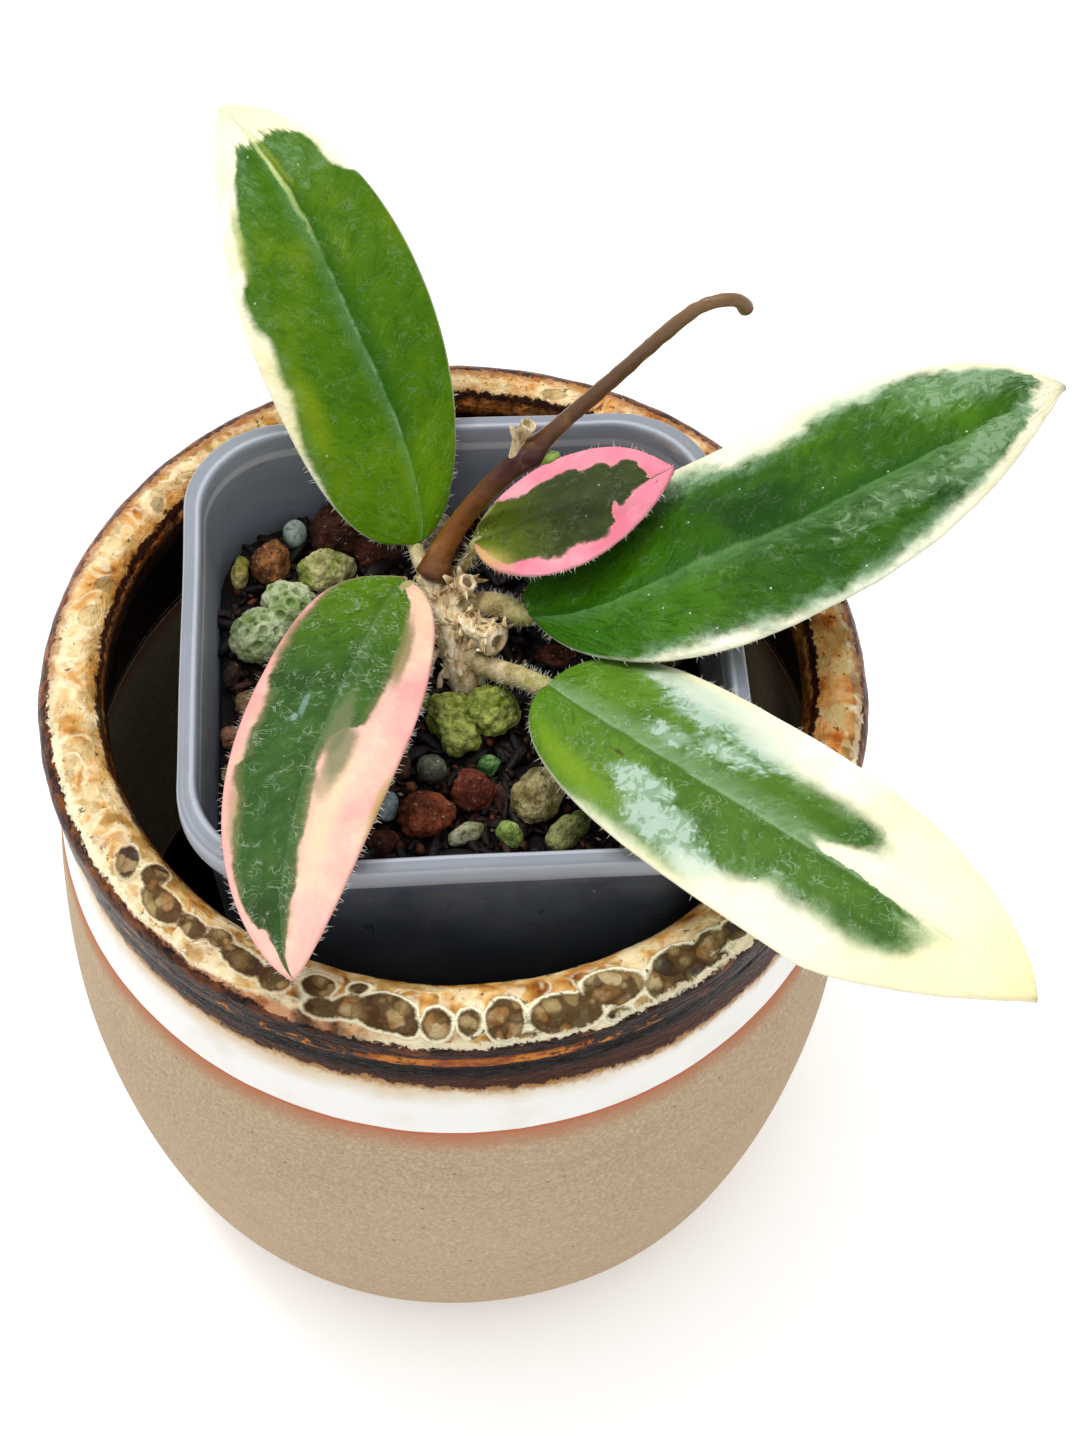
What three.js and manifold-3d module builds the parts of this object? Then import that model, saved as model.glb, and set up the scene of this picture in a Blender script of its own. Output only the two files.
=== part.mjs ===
// A young variegated hoya with five leaves, growing in a square translucent nursery pot
// that stands loose inside a round glazed stoneware planter.
// Millimetres, +Z up, origin at the middle of the planter's foot, -Y towards the viewer.
import * as THREE from "three";
import { mergeVertices } from "three/addons/utils/BufferGeometryUtils.js";
import Module from "manifold-3d";

const wasm = await Module();
wasm.setup();

const CLEARANCE = 0.3; // between pieces that touch on the real plant
const UP = new THREE.Vector3(0, 0, 1);

// Planter: thrown stoneware, 5 inches across the rolled rim.
const PLANTER_HEIGHT = 120;
const PLANTER_RADIUS = 63.5;
const PLANTER_FOOT_RADIUS = 47;
const PLANTER_FLOOR = 8;
const ROLL_HALF_WIDTH = 5.1;
const PLANTER_SEGMENTS = 52;

// Nursery pot: square with round corners, turned a little in the planter, on the planter's floor.
const POT_RIM_Z = 129;
const POT_LIP_HALF = 41.8;
const POT_CORNER_SHARE = 0.38; // corner radius over half the side
const POT_LIP_HEIGHT = 4.4;
const POT_LIP_OVERHANG = 1.9;
const POT_WALL = 1.1;
const POT_FLOOR = 1.5;
const POT_BASE_HALF = 33.4;
const POT_CENTRE = new THREE.Vector3(0.95, -0.2, 0);
const POT_TURN = THREE.MathUtils.degToRad(4.95);
const POT_ARC_STEPS = 6;
const DRAIN_HOLE_RADIUS = 4;
const DRAIN_HOLE_OFFSET = 17;

const SOIL_Z = 109;
const SOIL_LUMP = 0.7;

const group = new THREE.Group();

function add(name, geometry, colour, roughness, metalness = 0) {
  const material = new THREE.MeshStandardMaterial({ color: colour, roughness, metalness });
  const mesh = new THREE.Mesh(geometry, material);
  mesh.name = name;
  group.add(mesh);
  return mesh;
}

function weld(geometry) {
  const bare = geometry.clone();
  bare.deleteAttribute("normal");
  bare.deleteAttribute("uv");
  return mergeVertices(bare, 1e-4);
}

function toSolid(geometry) {
  const welded = weld(geometry);
  const vertProperties = new Float32Array(welded.attributes.position.array);
  const triVerts = new Uint32Array(welded.index.array);
  return new wasm.Manifold(new wasm.Mesh({ numProp: 3, vertProperties, triVerts }));
}

function toGeometry(solid) {
  const mesh = solid.getMesh();
  const geometry = new THREE.BufferGeometry();
  geometry.setAttribute("position", new THREE.BufferAttribute(mesh.vertProperties, 3));
  geometry.setIndex(new THREE.BufferAttribute(mesh.triVerts, 1));
  return geometry;
}

function join(geometries) {
  return geometries.map(toSolid).reduce((whole, piece) => whole.add(piece));
}

// Soft lumps as a sum of sines, alike on every run. The phase tells one piece from another.
function lumps(p, phase) {
  const a = Math.sin(1.7 * p.x + 2.3 * p.y + phase);
  const b = Math.sin(2.9 * p.y - 1.9 * p.z + 2.1 * phase);
  const c = Math.sin(2.6 * p.z + 1.3 * p.x + 3.7 * phase);
  return (a + b + c) / 3;
}

// Planter: one turned body, with a flat foot, a full belly and a thick rim rolled inwards.
const rollRadius = PLANTER_RADIUS - ROLL_HALF_WIDTH;
const rollZ = PLANTER_HEIGHT - ROLL_HALF_WIDTH;

function planterProfile() {
  const belly = new THREE.SplineCurve([
    new THREE.Vector2(55.5, 1.6),
    new THREE.Vector2(62.4, 17),
    new THREE.Vector2(66.2, 50),
    new THREE.Vector2(65.2, 77),
    new THREE.Vector2(62.6, 97),
    new THREE.Vector2(61.9, 106),
  ]);
  const start = THREE.MathUtils.degToRad(-42);
  const end = THREE.MathUtils.degToRad(225);
  const half = ROLL_HALF_WIDTH;
  const roll = new THREE.EllipseCurve(rollRadius, rollZ, half, half, start, end);
  const inside = new THREE.SplineCurve([
    new THREE.Vector2(56.2, 106),
    new THREE.Vector2(59.4, 82),
    new THREE.Vector2(60.2, 52),
    new THREE.Vector2(57, 22),
    new THREE.Vector2(50, 11),
  ]);
  return [
    new THREE.Vector2(0, 0),
    new THREE.Vector2(PLANTER_FOOT_RADIUS, 0),
    ...belly.getPoints(8),
    ...roll.getPoints(10),
    ...inside.getPoints(5),
    new THREE.Vector2(42, PLANTER_FLOOR),
    new THREE.Vector2(0, PLANTER_FLOOR),
  ];
}

const planter = new THREE.LatheGeometry(planterProfile(), PLANTER_SEGMENTS);
planter.rotateX(Math.PI / 2);
add("planter", planter, 0xb8a084, 0.8);

// Nursery pot and soil: turned profiles whose circles are drawn out to squares with round corners.
function squarePoint(index, half) {
  const corner = Math.floor(index / (POT_ARC_STEPS + 1)) % 4;
  const step = index % (POT_ARC_STEPS + 1);
  const radius = half * POT_CORNER_SHARE;
  const reach = half - radius;
  const angle = (corner + step / POT_ARC_STEPS) * (Math.PI / 2);
  const sx = corner === 0 || corner === 3 ? 1 : -1;
  const sy = corner < 2 ? 1 : -1;
  return new THREE.Vector2(
    sx * reach + radius * Math.cos(angle),
    sy * reach + radius * Math.sin(angle),
  );
}

function squareLathe(profile) {
  const sides = 4 * (POT_ARC_STEPS + 1);
  const geometry = new THREE.LatheGeometry(profile, sides);
  const position = geometry.attributes.position;
  for (let i = 0; i <= sides; i++) {
    for (let j = 0; j < profile.length; j++) {
      const p = squarePoint(i % sides, profile[j].x);
      position.setXYZ(i * profile.length + j, p.x, p.y, profile[j].y);
    }
  }
  return geometry;
}

function placeInPlanter(geometry) {
  geometry.rotateZ(POT_TURN);
  geometry.translate(POT_CENTRE.x, POT_CENTRE.y, 0);
  return geometry;
}

const potBaseZ = PLANTER_FLOOR + CLEARANCE;
const potWallTopZ = POT_RIM_Z - POT_LIP_HEIGHT;
const potWallTopHalf = POT_LIP_HALF - POT_LIP_OVERHANG;

function potOuterHalf(z) {
  const share = (z - potBaseZ) / (potWallTopZ - potBaseZ);
  return THREE.MathUtils.lerp(POT_BASE_HALF, potWallTopHalf, share);
}

const potFloorZ = potBaseZ + POT_FLOOR;
const potInnerHalf = (z) => potOuterHalf(z) - POT_WALL;

function potProfile() {
  return [
    new THREE.Vector2(0, potBaseZ),
    new THREE.Vector2(POT_BASE_HALF - 1, potBaseZ),
    new THREE.Vector2(potOuterHalf(potBaseZ + 1), potBaseZ + 1),
    new THREE.Vector2(potWallTopHalf, potWallTopZ),
    new THREE.Vector2(POT_LIP_HALF - 0.4, potWallTopZ + 0.1),
    new THREE.Vector2(POT_LIP_HALF, potWallTopZ + 0.7),
    new THREE.Vector2(POT_LIP_HALF, POT_RIM_Z - 0.7),
    new THREE.Vector2(POT_LIP_HALF - 0.6, POT_RIM_Z),
    new THREE.Vector2(potInnerHalf(POT_RIM_Z) + 0.5, POT_RIM_Z),
    new THREE.Vector2(potInnerHalf(POT_RIM_Z), POT_RIM_Z - 0.8),
    new THREE.Vector2(potInnerHalf(potFloorZ), potFloorZ),
    new THREE.Vector2(0, potFloorZ),
  ];
}

function drainHole(x, y) {
  const hole = new THREE.CylinderGeometry(DRAIN_HOLE_RADIUS, DRAIN_HOLE_RADIUS, 10, 12);
  hole.rotateX(Math.PI / 2);
  hole.translate(x, y, potBaseZ);
  return placeInPlanter(hole);
}

let nurseryPot = toSolid(placeInPlanter(squareLathe(potProfile())));
const drainPlaces = [[0, 0]];
for (const sx of [-1, 1]) {
  for (const sy of [-1, 1]) {
    drainPlaces.push([sx * DRAIN_HOLE_OFFSET, sy * DRAIN_HOLE_OFFSET]);
  }
}
for (const [x, y] of drainPlaces) {
  nurseryPot = nurseryPot.subtract(toSolid(drainHole(x, y)));
}
add("nursery_pot", toGeometry(nurseryPot), 0xa9b4bf, 0.35);

function soilProfile() {
  const bottom = potFloorZ + CLEARANCE;
  const shrink = [0.97, 0.84, 0.7, 0.54, 0.38, 0.2];
  const edge = potInnerHalf(SOIL_Z - 1) - 0.35;
  return [
    new THREE.Vector2(0, bottom),
    new THREE.Vector2(potInnerHalf(bottom) - 0.8, bottom),
    new THREE.Vector2(edge, SOIL_Z - 1),
    ...shrink.map((share) => new THREE.Vector2(edge * share, SOIL_Z)),
    new THREE.Vector2(0, SOIL_Z),
  ];
}

function lumpySoil() {
  const geometry = placeInPlanter(squareLathe(soilProfile()));
  const position = geometry.attributes.position;
  const scaled = new THREE.Vector3();
  for (let i = 0; i < position.count; i++) {
    if (position.getZ(i) < SOIL_Z - 0.5) {
      continue;
    }
    scaled.set(position.getX(i) * 0.16, position.getY(i) * 0.16, 0);
    position.setZ(i, SOIL_Z + SOIL_LUMP * lumps(scaled, 1.3));
  }
  return geometry;
}

let soil = toSolid(lumpySoil());

// A stem is a cylinder bent along a curve through its points, with a radius at each point.
function stemAlong(points, radii, sides, spacing, fatter = 0) {
  const curve = new THREE.CatmullRomCurve3(points.map((p) => new THREE.Vector3(...p)));
  const steps = Math.max(3, Math.round(curve.getLength() / spacing));
  const frames = curve.computeFrenetFrames(steps);
  const along = [0];
  for (let i = 1; i < points.length; i++) {
    const gap = new THREE.Vector3(...points[i]).distanceTo(new THREE.Vector3(...points[i - 1]));
    along.push(along[i - 1] + gap);
  }
  const radiusAt = (t) => {
    const place = t * along[along.length - 1];
    let i = 1;
    while (i < along.length - 1 && along[i] < place) {
      i++;
    }
    const share = (place - along[i - 1]) / (along[i] - along[i - 1]);
    return THREE.MathUtils.lerp(radii[i - 1], radii[i], share) + fatter;
  };
  const geometry = new THREE.CylinderGeometry(1, 1, 1, sides, steps);
  const position = geometry.attributes.position;
  const out = new THREE.Vector3();
  for (let i = 0; i < position.count; i++) {
    const step = Math.round((position.getY(i) + 0.5) * steps);
    const radius = radiusAt(step / steps);
    out.copy(curve.getPointAt(step / steps));
    out.addScaledVector(frames.normals[step], position.getX(i) * radius);
    out.addScaledVector(frames.binormals[step], -position.getZ(i) * radius);
    position.setXYZ(i, out.x, out.y, out.z);
  }
  return geometry;
}

// Old stem: the tan woody vine that comes up through the mix and lies just above it, with the
// ring-shaped scar of a lost leaf, a cup-ended flower spur and a few aerial roots.
const OLD_STEM = {
  points: [
    [2.4, 3.2, 92],
    [2.2, 2.8, 104],
    [1.4, 4, 110.4],
    [-0.3, 9, 113.2],
    [-2.2, 13.6, 114.6],
    [-3.9, 17.2, 115.6],
  ],
  radii: [2.2, 2.5, 2.9, 3, 2.9, 2.8],
};
const SCAR_SPUR = {
  points: [
    [-2.6, 14.6, 114.6],
    [-0.4, 15.6, 117.2],
    [1.2, 15.2, 120],
  ],
  radii: [2, 2, 2.2],
};
const CUP_SPUR = {
  points: [
    [-0.9, 11, 113.8],
    [1, 9.6, 117],
    [3.6, 6.8, 118.8],
    [6, 4.2, 119.8],
  ],
  radii: [1.9, 1.7, 2.1, 2.7],
};
const AERIAL_ROOTS = [
  [[-1.9, 12.6, 113.5], [-5.2, 11, 112.2], [-6.2, 8.2, 108]],
  [[-0.4, 9.2, 113], [-3.6, 6.8, 112], [-4.4, 4, 108]],
  [[0.4, 6.6, 112], [-2.4, 3.6, 111.2], [-2.6, 1.4, 108]],
  [[-1.2, 12, 114], [2.4, 10.6, 112.4], [4.6, 10.8, 108]],
];
const AERIAL_ROOT_RADIUS = 0.5;

function oldStem(fatter) {
  const pieces = [
    stemAlong(OLD_STEM.points, OLD_STEM.radii, 10, 3, fatter),
    stemAlong(SCAR_SPUR.points, SCAR_SPUR.radii, 10, 2, fatter),
    stemAlong(CUP_SPUR.points, CUP_SPUR.radii, 10, 2, fatter),
  ];
  const r = AERIAL_ROOT_RADIUS;
  for (const root of AERIAL_ROOTS) {
    pieces.push(stemAlong(root, [r, r, r], 5, 2.5, fatter));
  }
  return join(pieces);
}

// The scar and the spur end in shallow cups: a small bowl is cut into each end.
function cupIn(spur, radius) {
  const tip = new THREE.Vector3(...spur.points[spur.points.length - 1]);
  const before = new THREE.Vector3(...spur.points[spur.points.length - 2]);
  const cup = new THREE.SphereGeometry(radius, 10, 6);
  const centre = tip.clone().addScaledVector(tip.clone().sub(before).normalize(), radius * 0.45);
  cup.translate(centre.x, centre.y, centre.z);
  return toSolid(cup);
}

const oldStemSolid = oldStem(0).subtract(cupIn(SCAR_SPUR, 1.3)).subtract(cupIn(CUP_SPUR, 1.5));
const oldStemRoom = oldStem(CLEARANCE + 0.05);
add("old_stem", toGeometry(oldStemSolid), 0xb59a72, 0.85);

// Young shoot: the brown vine tip, with a swollen purple node that carries a dried stub and a
// small green bud, and a thin end that curls over.
const SHOOT = {
  points: [
    [-4.2, 17.7, 118.6],
    [-3.2, 19.6, 121],
    [-0.4, 22, 126],
    [4.3, 23.3, 133.5],
    [8.4, 22.8, 140],
    [10.6, 22.7, 143],
    [14.6, 23.6, 148],
    [21.6, 24.3, 157],
    [27.5, 23.9, 166],
    [33.4, 24.2, 173],
    [36.6, 24.5, 174.2],
    [38.9, 25.4, 173.2],
    [40, 26, 171.2],
  ],
  radii: [2.9, 2.3, 1.9, 2, 2.5, 2.5, 1.5, 1.3, 1.2, 1.05, 1, 1.05, 1.15],
};
const STUB = { points: [[8.6, 22.8, 141], [8.7, 23, 145.5], [10, 23.2, 148.4]], radii: [1.6, 1, 1.2] };
const BUD = { points: [[10.4, 22.5, 142], [12.8, 22, 142.6], [14.4, 21.7, 143.6]], radii: [1.1, 1.1, 0.5] };

function youngShoot(fatter) {
  return join([
    stemAlong(SHOOT.points, SHOOT.radii, 10, 3, fatter),
    stemAlong(STUB.points, STUB.radii, 6, 2.5, fatter),
    stemAlong(BUD.points, BUD.radii, 6, 1.5, fatter),
  ]);
}

const shootSolid = youngShoot(0).subtract(oldStemRoom);
const shootRoom = youngShoot(CLEARANCE + 0.05);
add("young_shoot", toGeometry(shootSolid), 0x6b4230, 0.5);

// Leaves: each blade runs from its base to its tip, arched along its length and cupped across it.
// Each half has its own outline: a round base up to the widest place, then a taper to the tip.
const LEAF_ROWS = 16;
const LEAF_COLUMNS = 6;
const LEAF_MIDRIB_THICKNESS = 1.25;
const LEAF_MARGIN_THICKNESS = 0.8;
const LEAF_TIP_HALF_WIDTH = 0.35;

const half = (width, widest, round, taper, blunt, lobe) => ({ width, widest, round, taper, blunt, lobe });

const LEAVES = [
  {
    name: "leaf_back_left",
    base: [-6.7, 23, 119.5],
    tip: [-39.7, 75.3, 161],
    roll: -9,
    arch: 4.5,
    cup: -1.5,
    sway: [-4.68, -0.95],
    left: half(16.4, 0.5, 1.99, 1.81, 0.9, -0.78),
    right: half(13.1, 0.53, 1.61, 2.33, 0.49, -0.23),
    petiole: [[-4.6, 17.9, 116.2], [-6.2, 20.6, 117.4], [-7.2, 23.4, 119.2], [-8.8, 26, 121]],
    petioleRadii: [1.3, 1.2, 1.2, 0.7],
    colour: 0x5f9a2c,
  },
  {
    name: "leaf_right",
    base: [10.5, 8.4, 122],
    tip: [89.9, 32.3, 151],
    roll: -8,
    arch: 5,
    cup: -3,
    sway: [-8.72, 4.46],
    left: half(23.46, 0.38, 1.93, 3.45, 0.82, 0.3),
    right: half(15.25, 0.44, 2.13, 2.91, 1.05, -0.74),
    petiole: [[-2.6, 14, 113.6], [3.8, 14.2, 116], [7.4, 11.6, 119], [10.8, 9, 121.2], [15, 10.4, 122.4]],
    petioleRadii: [2.1, 2.1, 2.1, 1.9, 0.8],
    colour: 0x2f6a1e,
  },
  {
    name: "leaf_small",
    base: [1.9, 18.9, 126],
    tip: [32.2, 25.8, 137],
    roll: -12,
    arch: 1.5,
    cup: -1,
    sway: [-0.76, -0.17],
    left: half(11.8, 0.45, 1.63, 3.29, 1.07, 0.08),
    right: half(13.5, 0.45, 2.01, 1.84, 0.82, 0.13),
    petiole: [[-2.8, 17.6, 114.6], [0.2, 19.4, 118.4], [1.9, 19.2, 122.6], [2.6, 19.2, 125.2], [4.8, 19.6, 126.2]],
    petioleRadii: [1.1, 1.1, 1, 0.9, 0.6],
    colour: 0x4a5c30,
  },
  {
    name: "leaf_front_left",
    base: [-8.6, 15.5, 119],
    tip: [-19, -62.2, 134],
    roll: 6,
    arch: 5.5,
    cup: -1.5,
    sway: [-3.25, -1.27],
    left: half(11.44, 0.42, 1.81, 1.84, 0.8, 0.66),
    right: half(14.03, 0.33, 4, 2.73, 0.66, 2.32),
    petiole: [[-3.2, 14.8, 115], [-6.2, 15.2, 116.6], [-8.2, 15.2, 118.2], [-9, 12.4, 118.8]],
    petioleRadii: [1.4, 1.3, 1.2, 0.7],
    colour: 0x4d7430,
  },
  {
    name: "leaf_front_right",
    base: [14, -5.7, 123.5],
    tip: [77.9, -66.3, 142],
    roll: 2,
    arch: 6,
    cup: -2,
    sway: [-2.51, 1.52],
    left: half(16.3, 0.36, 2.65, 2.82, 0.83, 0.14),
    right: half(15.25, 0.7, 2.53, 1.44, 0.92, 0.21),
    petiole: [[-0.1, 7.6, 112.6], [5.2, 2.4, 115.6], [10, -2, 120], [14.6, -6, 122.9], [18, -9, 124.2]],
    petioleRadii: [1.8, 1.8, 1.7, 1.6, 0.8],
    colour: 0xa9bf7a,
  },
];

// Share of the full half width at the place t along the blade.
function outlineShare(t, side) {
  if (t < side.widest) {
    return Math.pow(Math.max(0, 1 - Math.pow(1 - t / side.widest, side.round)), 1 / side.round);
  }
  const past = (t - side.widest) / (1 - side.widest);
  return Math.pow(Math.max(0, 1 - Math.pow(past, side.taper)), side.blunt);
}

function leafAxes(leaf) {
  const base = new THREE.Vector3(...leaf.base);
  const along = new THREE.Vector3(...leaf.tip).sub(base);
  const length = along.length();
  along.normalize();
  const level = UP.clone().cross(along).normalize();
  const raised = along.clone().cross(level);
  const roll = THREE.MathUtils.degToRad(leaf.roll);
  const across = level.clone().multiplyScalar(Math.cos(roll)).addScaledVector(raised, Math.sin(roll));
  const normal = raised.clone().multiplyScalar(Math.cos(roll)).addScaledVector(level, -Math.sin(roll));
  return { base, along, across, normal, length };
}

// A point of the blade: t from base to tip, s from -1 at the left margin to 1 at the right one.
function bladePoint(leaf, axes, t, s, depth) {
  const side = s < 0 ? leaf.left : leaf.right;
  const share = outlineShare(t, side);
  const out = Math.abs(s);
  const hump = 4 * t * (1 - t);
  const middle = hump * (leaf.sway[0] + leaf.sway[1] * (2 * t - 1));
  const width = Math.max(side.width * share, LEAF_TIP_HALF_WIDTH);
  const back = -side.lobe * out * out * Math.pow(1 - t, 6);
  const raise = leaf.arch * hump + leaf.cup * out * out * share - depth;
  return axes.base
    .clone()
    .addScaledVector(axes.along, t * axes.length + back)
    .addScaledVector(axes.across, middle - Math.sign(s) * width * out)
    .addScaledVector(axes.normal, raise);
}

// A slab is two like grids of triangles, top and underside, closed by a strip around the edge.
function slab(columns, rows, pointAt) {
  const count = (columns + 1) * (rows + 1);
  const positions = [];
  const index = [];
  for (const under of [false, true]) {
    for (let j = 0; j <= rows; j++) {
      for (let i = 0; i <= columns; i++) {
        positions.push(...pointAt(i / columns, j / rows, under).toArray());
      }
    }
  }
  const id = (i, j) => j * (columns + 1) + i;
  for (let j = 0; j < rows; j++) {
    for (let i = 0; i < columns; i++) {
      const [a, b, c, d] = [id(i, j), id(i + 1, j), id(i + 1, j + 1), id(i, j + 1)];
      index.push(a, b, c, a, c, d);
      index.push(count + a, count + c, count + b, count + a, count + d, count + c);
    }
  }
  const edge = [];
  for (let i = 0; i < columns; i++) edge.push(id(i, 0));
  for (let j = 0; j < rows; j++) edge.push(id(columns, j));
  for (let i = columns; i > 0; i--) edge.push(id(i, rows));
  for (let j = rows; j > 0; j--) edge.push(id(0, j));
  edge.forEach((p, k) => {
    const q = edge[(k + 1) % edge.length];
    index.push(p, count + p, count + q, p, count + q, q);
  });
  const geometry = new THREE.BufferGeometry();
  geometry.setAttribute("position", new THREE.Float32BufferAttribute(positions, 3));
  geometry.setIndex(index);
  return geometry;
}

function leafBlade(leaf) {
  const axes = leafAxes(leaf);
  return slab(LEAF_COLUMNS, LEAF_ROWS, (u, v, under) => {
    const s = 2 * u - 1;
    const t = (1 - Math.cos(Math.PI * v)) / 2;
    const thickness = THREE.MathUtils.lerp(LEAF_MIDRIB_THICKNESS, LEAF_MARGIN_THICKNESS, s * s);
    return bladePoint(leaf, axes, t, s, under ? thickness : 0);
  });
}

for (const leaf of LEAVES) {
  const petiole = stemAlong(leaf.petiole, leaf.petioleRadii, 8, 2.5);
  const whole = join([leafBlade(leaf), petiole]);
  const clear = whole.subtract(oldStemRoom).subtract(shootRoom);
  add(leaf.name, toGeometry(clear), leaf.colour, 0.4);
}

// Stones of the mix: pumice, lava and pebbles, each half sunk in a pocket of the soil.
// A stone is one or more lumps, each given by its middle, half sizes and turn about the vertical.
const stone = (name, colour, lumpsOfStone, grain = 0.14) => ({ name, colour, lumpsOfStone, grain });

const STONES = [
  stone("pumice_round", 0x9aa05a, [[-21.9, 22.8, 111.4, 4.5, 3.9, 3.9, 20]]),
  stone("pumice_long", 0xa9b48a, [
    [-31.3, 10, 111.4, 4.6, 4.5, 3.6, 30],
    [-27, 15.4, 112, 4.7, 4.6, 3.8, 10],
  ]),
  stone("pumice_yellow", 0xa7a551, [[-35.5, 22.8, 111, 1.3, 2.9, 2.6, 0]]),
  stone("lava_tall", 0x6e3a22, [[-30.6, 24.2, 111.8, 3.2, 3.9, 4, 0]], 0.1),
  stone("pebble_white", 0xb9c4b6, [[-27.4, 31, 111, 2, 2.3, 2.4, 0]], 0.06),
  stone("lava_back", 0x4a2a1e, [
    [-19.6, 31.2, 112.6, 5.6, 4.4, 4.8, 30],
    [-14.2, 28.6, 111, 5.2, 3.6, 3.6, -20],
  ]),
  stone("pumice_knob", 0x98a050, [
    [-0.6, -4.6, 111.9, 3.7, 3.9, 3.8, 10],
    [5.5, -3.4, 112.1, 4.3, 4.2, 4, 40],
    [1, -7.9, 111.2, 2.9, 2.9, 3, 0],
  ]),
  stone("lava_front", 0x7a3620, [[-3.8, -22, 111.6, 4.3, 3.8, 3.6, 15]], 0.1),
  stone("lava_mid", 0x6c3324, [[3.1, -17.8, 111.6, 3.5, 3.3, 3.5, -35]], 0.1),
  stone("pebble_grey", 0x55574a, [[-3.2, -13.6, 110.9, 2.3, 2.4, 2.2, 0]], 0.05),
  stone("pumice_tan", 0xa39464, [[12.9, -18.6, 111.7, 3.7, 4.6, 3.8, -15]]),
  stone("chip_green", 0x5c8c3c, [[5.4, -12.6, 110.8, 2, 1.6, 1.7, 20]]),
  stone("shard_pale", 0x9c9f78, [[2.5, -24.8, 110.8, 3, 1.6, 2, 25]]),
  stone("pumice_green", 0x6f8c35, [[9, -24.6, 110.5, 1.7, 2.3, 1.7, 35]]),
  stone("pumice_olive", 0x7f8048, [[17.8, -24, 110.9, 3.9, 2.2, 2.5, 45]]),
  stone("pebble_blue", 0x8c9aa2, [[-9.4, -20.6, 111, 1.6, 2.5, 2.3, -10]], 0.05),
  stone("lava_right", 0x6a3626, [[15.4, 8.4, 110.6, 3.1, 1.9, 2.1, 0]], 0.1),
  stone("lava_center", 0x7a3424, [[7.6, 16.6, 110.8, 1.8, 1.6, 2.1, 0]], 0.1),
  stone("bark_right", 0x5a3624, [[31.6, 7.4, 110.6, 3.4, 1.6, 2, 25]], 0.1),
  stone("lump_tan", 0xa08c6a, [[-4.6, 31, 112, 3.5, 3.6, 4, 0]]),
  stone("chip_left_low", 0x7a6a48, [[-33.6, -15.6, 110.3, 1.5, 1.9, 1.5, 0]]),
  stone("chip_left_mid", 0x8a5a44, [[-34.2, -8.8, 110.3, 1.5, 2.1, 1.6, 20]]),
  stone("chip_left_high", 0x6e5036, [[-32.4, -2, 110.3, 1.9, 2.5, 1.7, -25]]),
  stone("pebble_knob", 0x7f9148, [[-5.2, -0.8, 110.4, 1.4, 1.6, 1.6, 0]]),
  stone("bark_flat", 0x3a261c, [[-8.6, -12.6, 110.2, 2.5, 3.1, 1.6, 15]], 0.08),
  stone("bark_dark", 0x3c2019, [[7.5, -18, 110.2, 1.2, 2.4, 1.6, 10]], 0.08),
  stone("lava_low", 0x4a241a, [[-10.2, -26.4, 110.3, 3, 2.2, 1.9, 0]], 0.1),
  stone("bark_left", 0x241a14, [[-35.1, 3.4, 110.3, 1.3, 2.5, 1.5, -5]], 0.08),
  stone("lava_hidden", 0x5e3024, [[26, -8, 111, 4.2, 3.6, 3.2, 30]], 0.1),
  stone("pumice_hidden", 0x8a8a5a, [[24.4, 20.6, 111.2, 4.4, 3.9, 3.5, 10]]),
  stone("pumice_corner", 0x93905e, [[28.4, -26.6, 110.9, 3.4, 3.2, 2.9, 60]]),
];
// Faces grow with size: [largest half size, subdivision of the icosahedron].
const STONE_DETAILS = [
  [2.35, 0],
  [4.3, 1],
  [Infinity, 2],
];

function lumpGeometry(lump, grain, fatter) {
  const [x, y, z, rx, ry, rz, turn] = lump;
  const detail = STONE_DETAILS.find(([limit]) => Math.max(rx, ry, rz) <= limit)[1];
  const geometry = weld(new THREE.IcosahedronGeometry(1, detail));
  const position = geometry.attributes.position;
  const p = new THREE.Vector3();
  for (let i = 0; i < position.count; i++) {
    p.fromBufferAttribute(position, i);
    const swell = 1 + grain * lumps(p.clone().multiplyScalar(1.6), x + y);
    position.setXYZ(i, p.x * swell * (rx + fatter), p.y * swell * (ry + fatter), p.z * swell * (rz + fatter));
  }
  geometry.rotateZ(THREE.MathUtils.degToRad(turn));
  geometry.translate(x, y, z);
  return geometry;
}

function stoneSolid(piece, fatter) {
  return join(piece.lumpsOfStone.map((lump) => lumpGeometry(lump, piece.grain, fatter)));
}

for (const piece of STONES) {
  const clear = stoneSolid(piece, 0).subtract(oldStemRoom);
  add(piece.name, toGeometry(clear), piece.colour, 0.9);
  soil = soil.subtract(stoneSolid(piece, CLEARANCE + 0.05));
}

soil = soil.subtract(oldStemRoom);
add("potting_mix", toGeometry(soil), 0x2a1c14, 0.95);

export default group;
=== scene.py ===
from math import atan2, cos, hypot, pi, radians, sin, sqrt
from random import Random

import bmesh
import bpy
from mathutils import Matrix, Vector, noise


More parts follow.
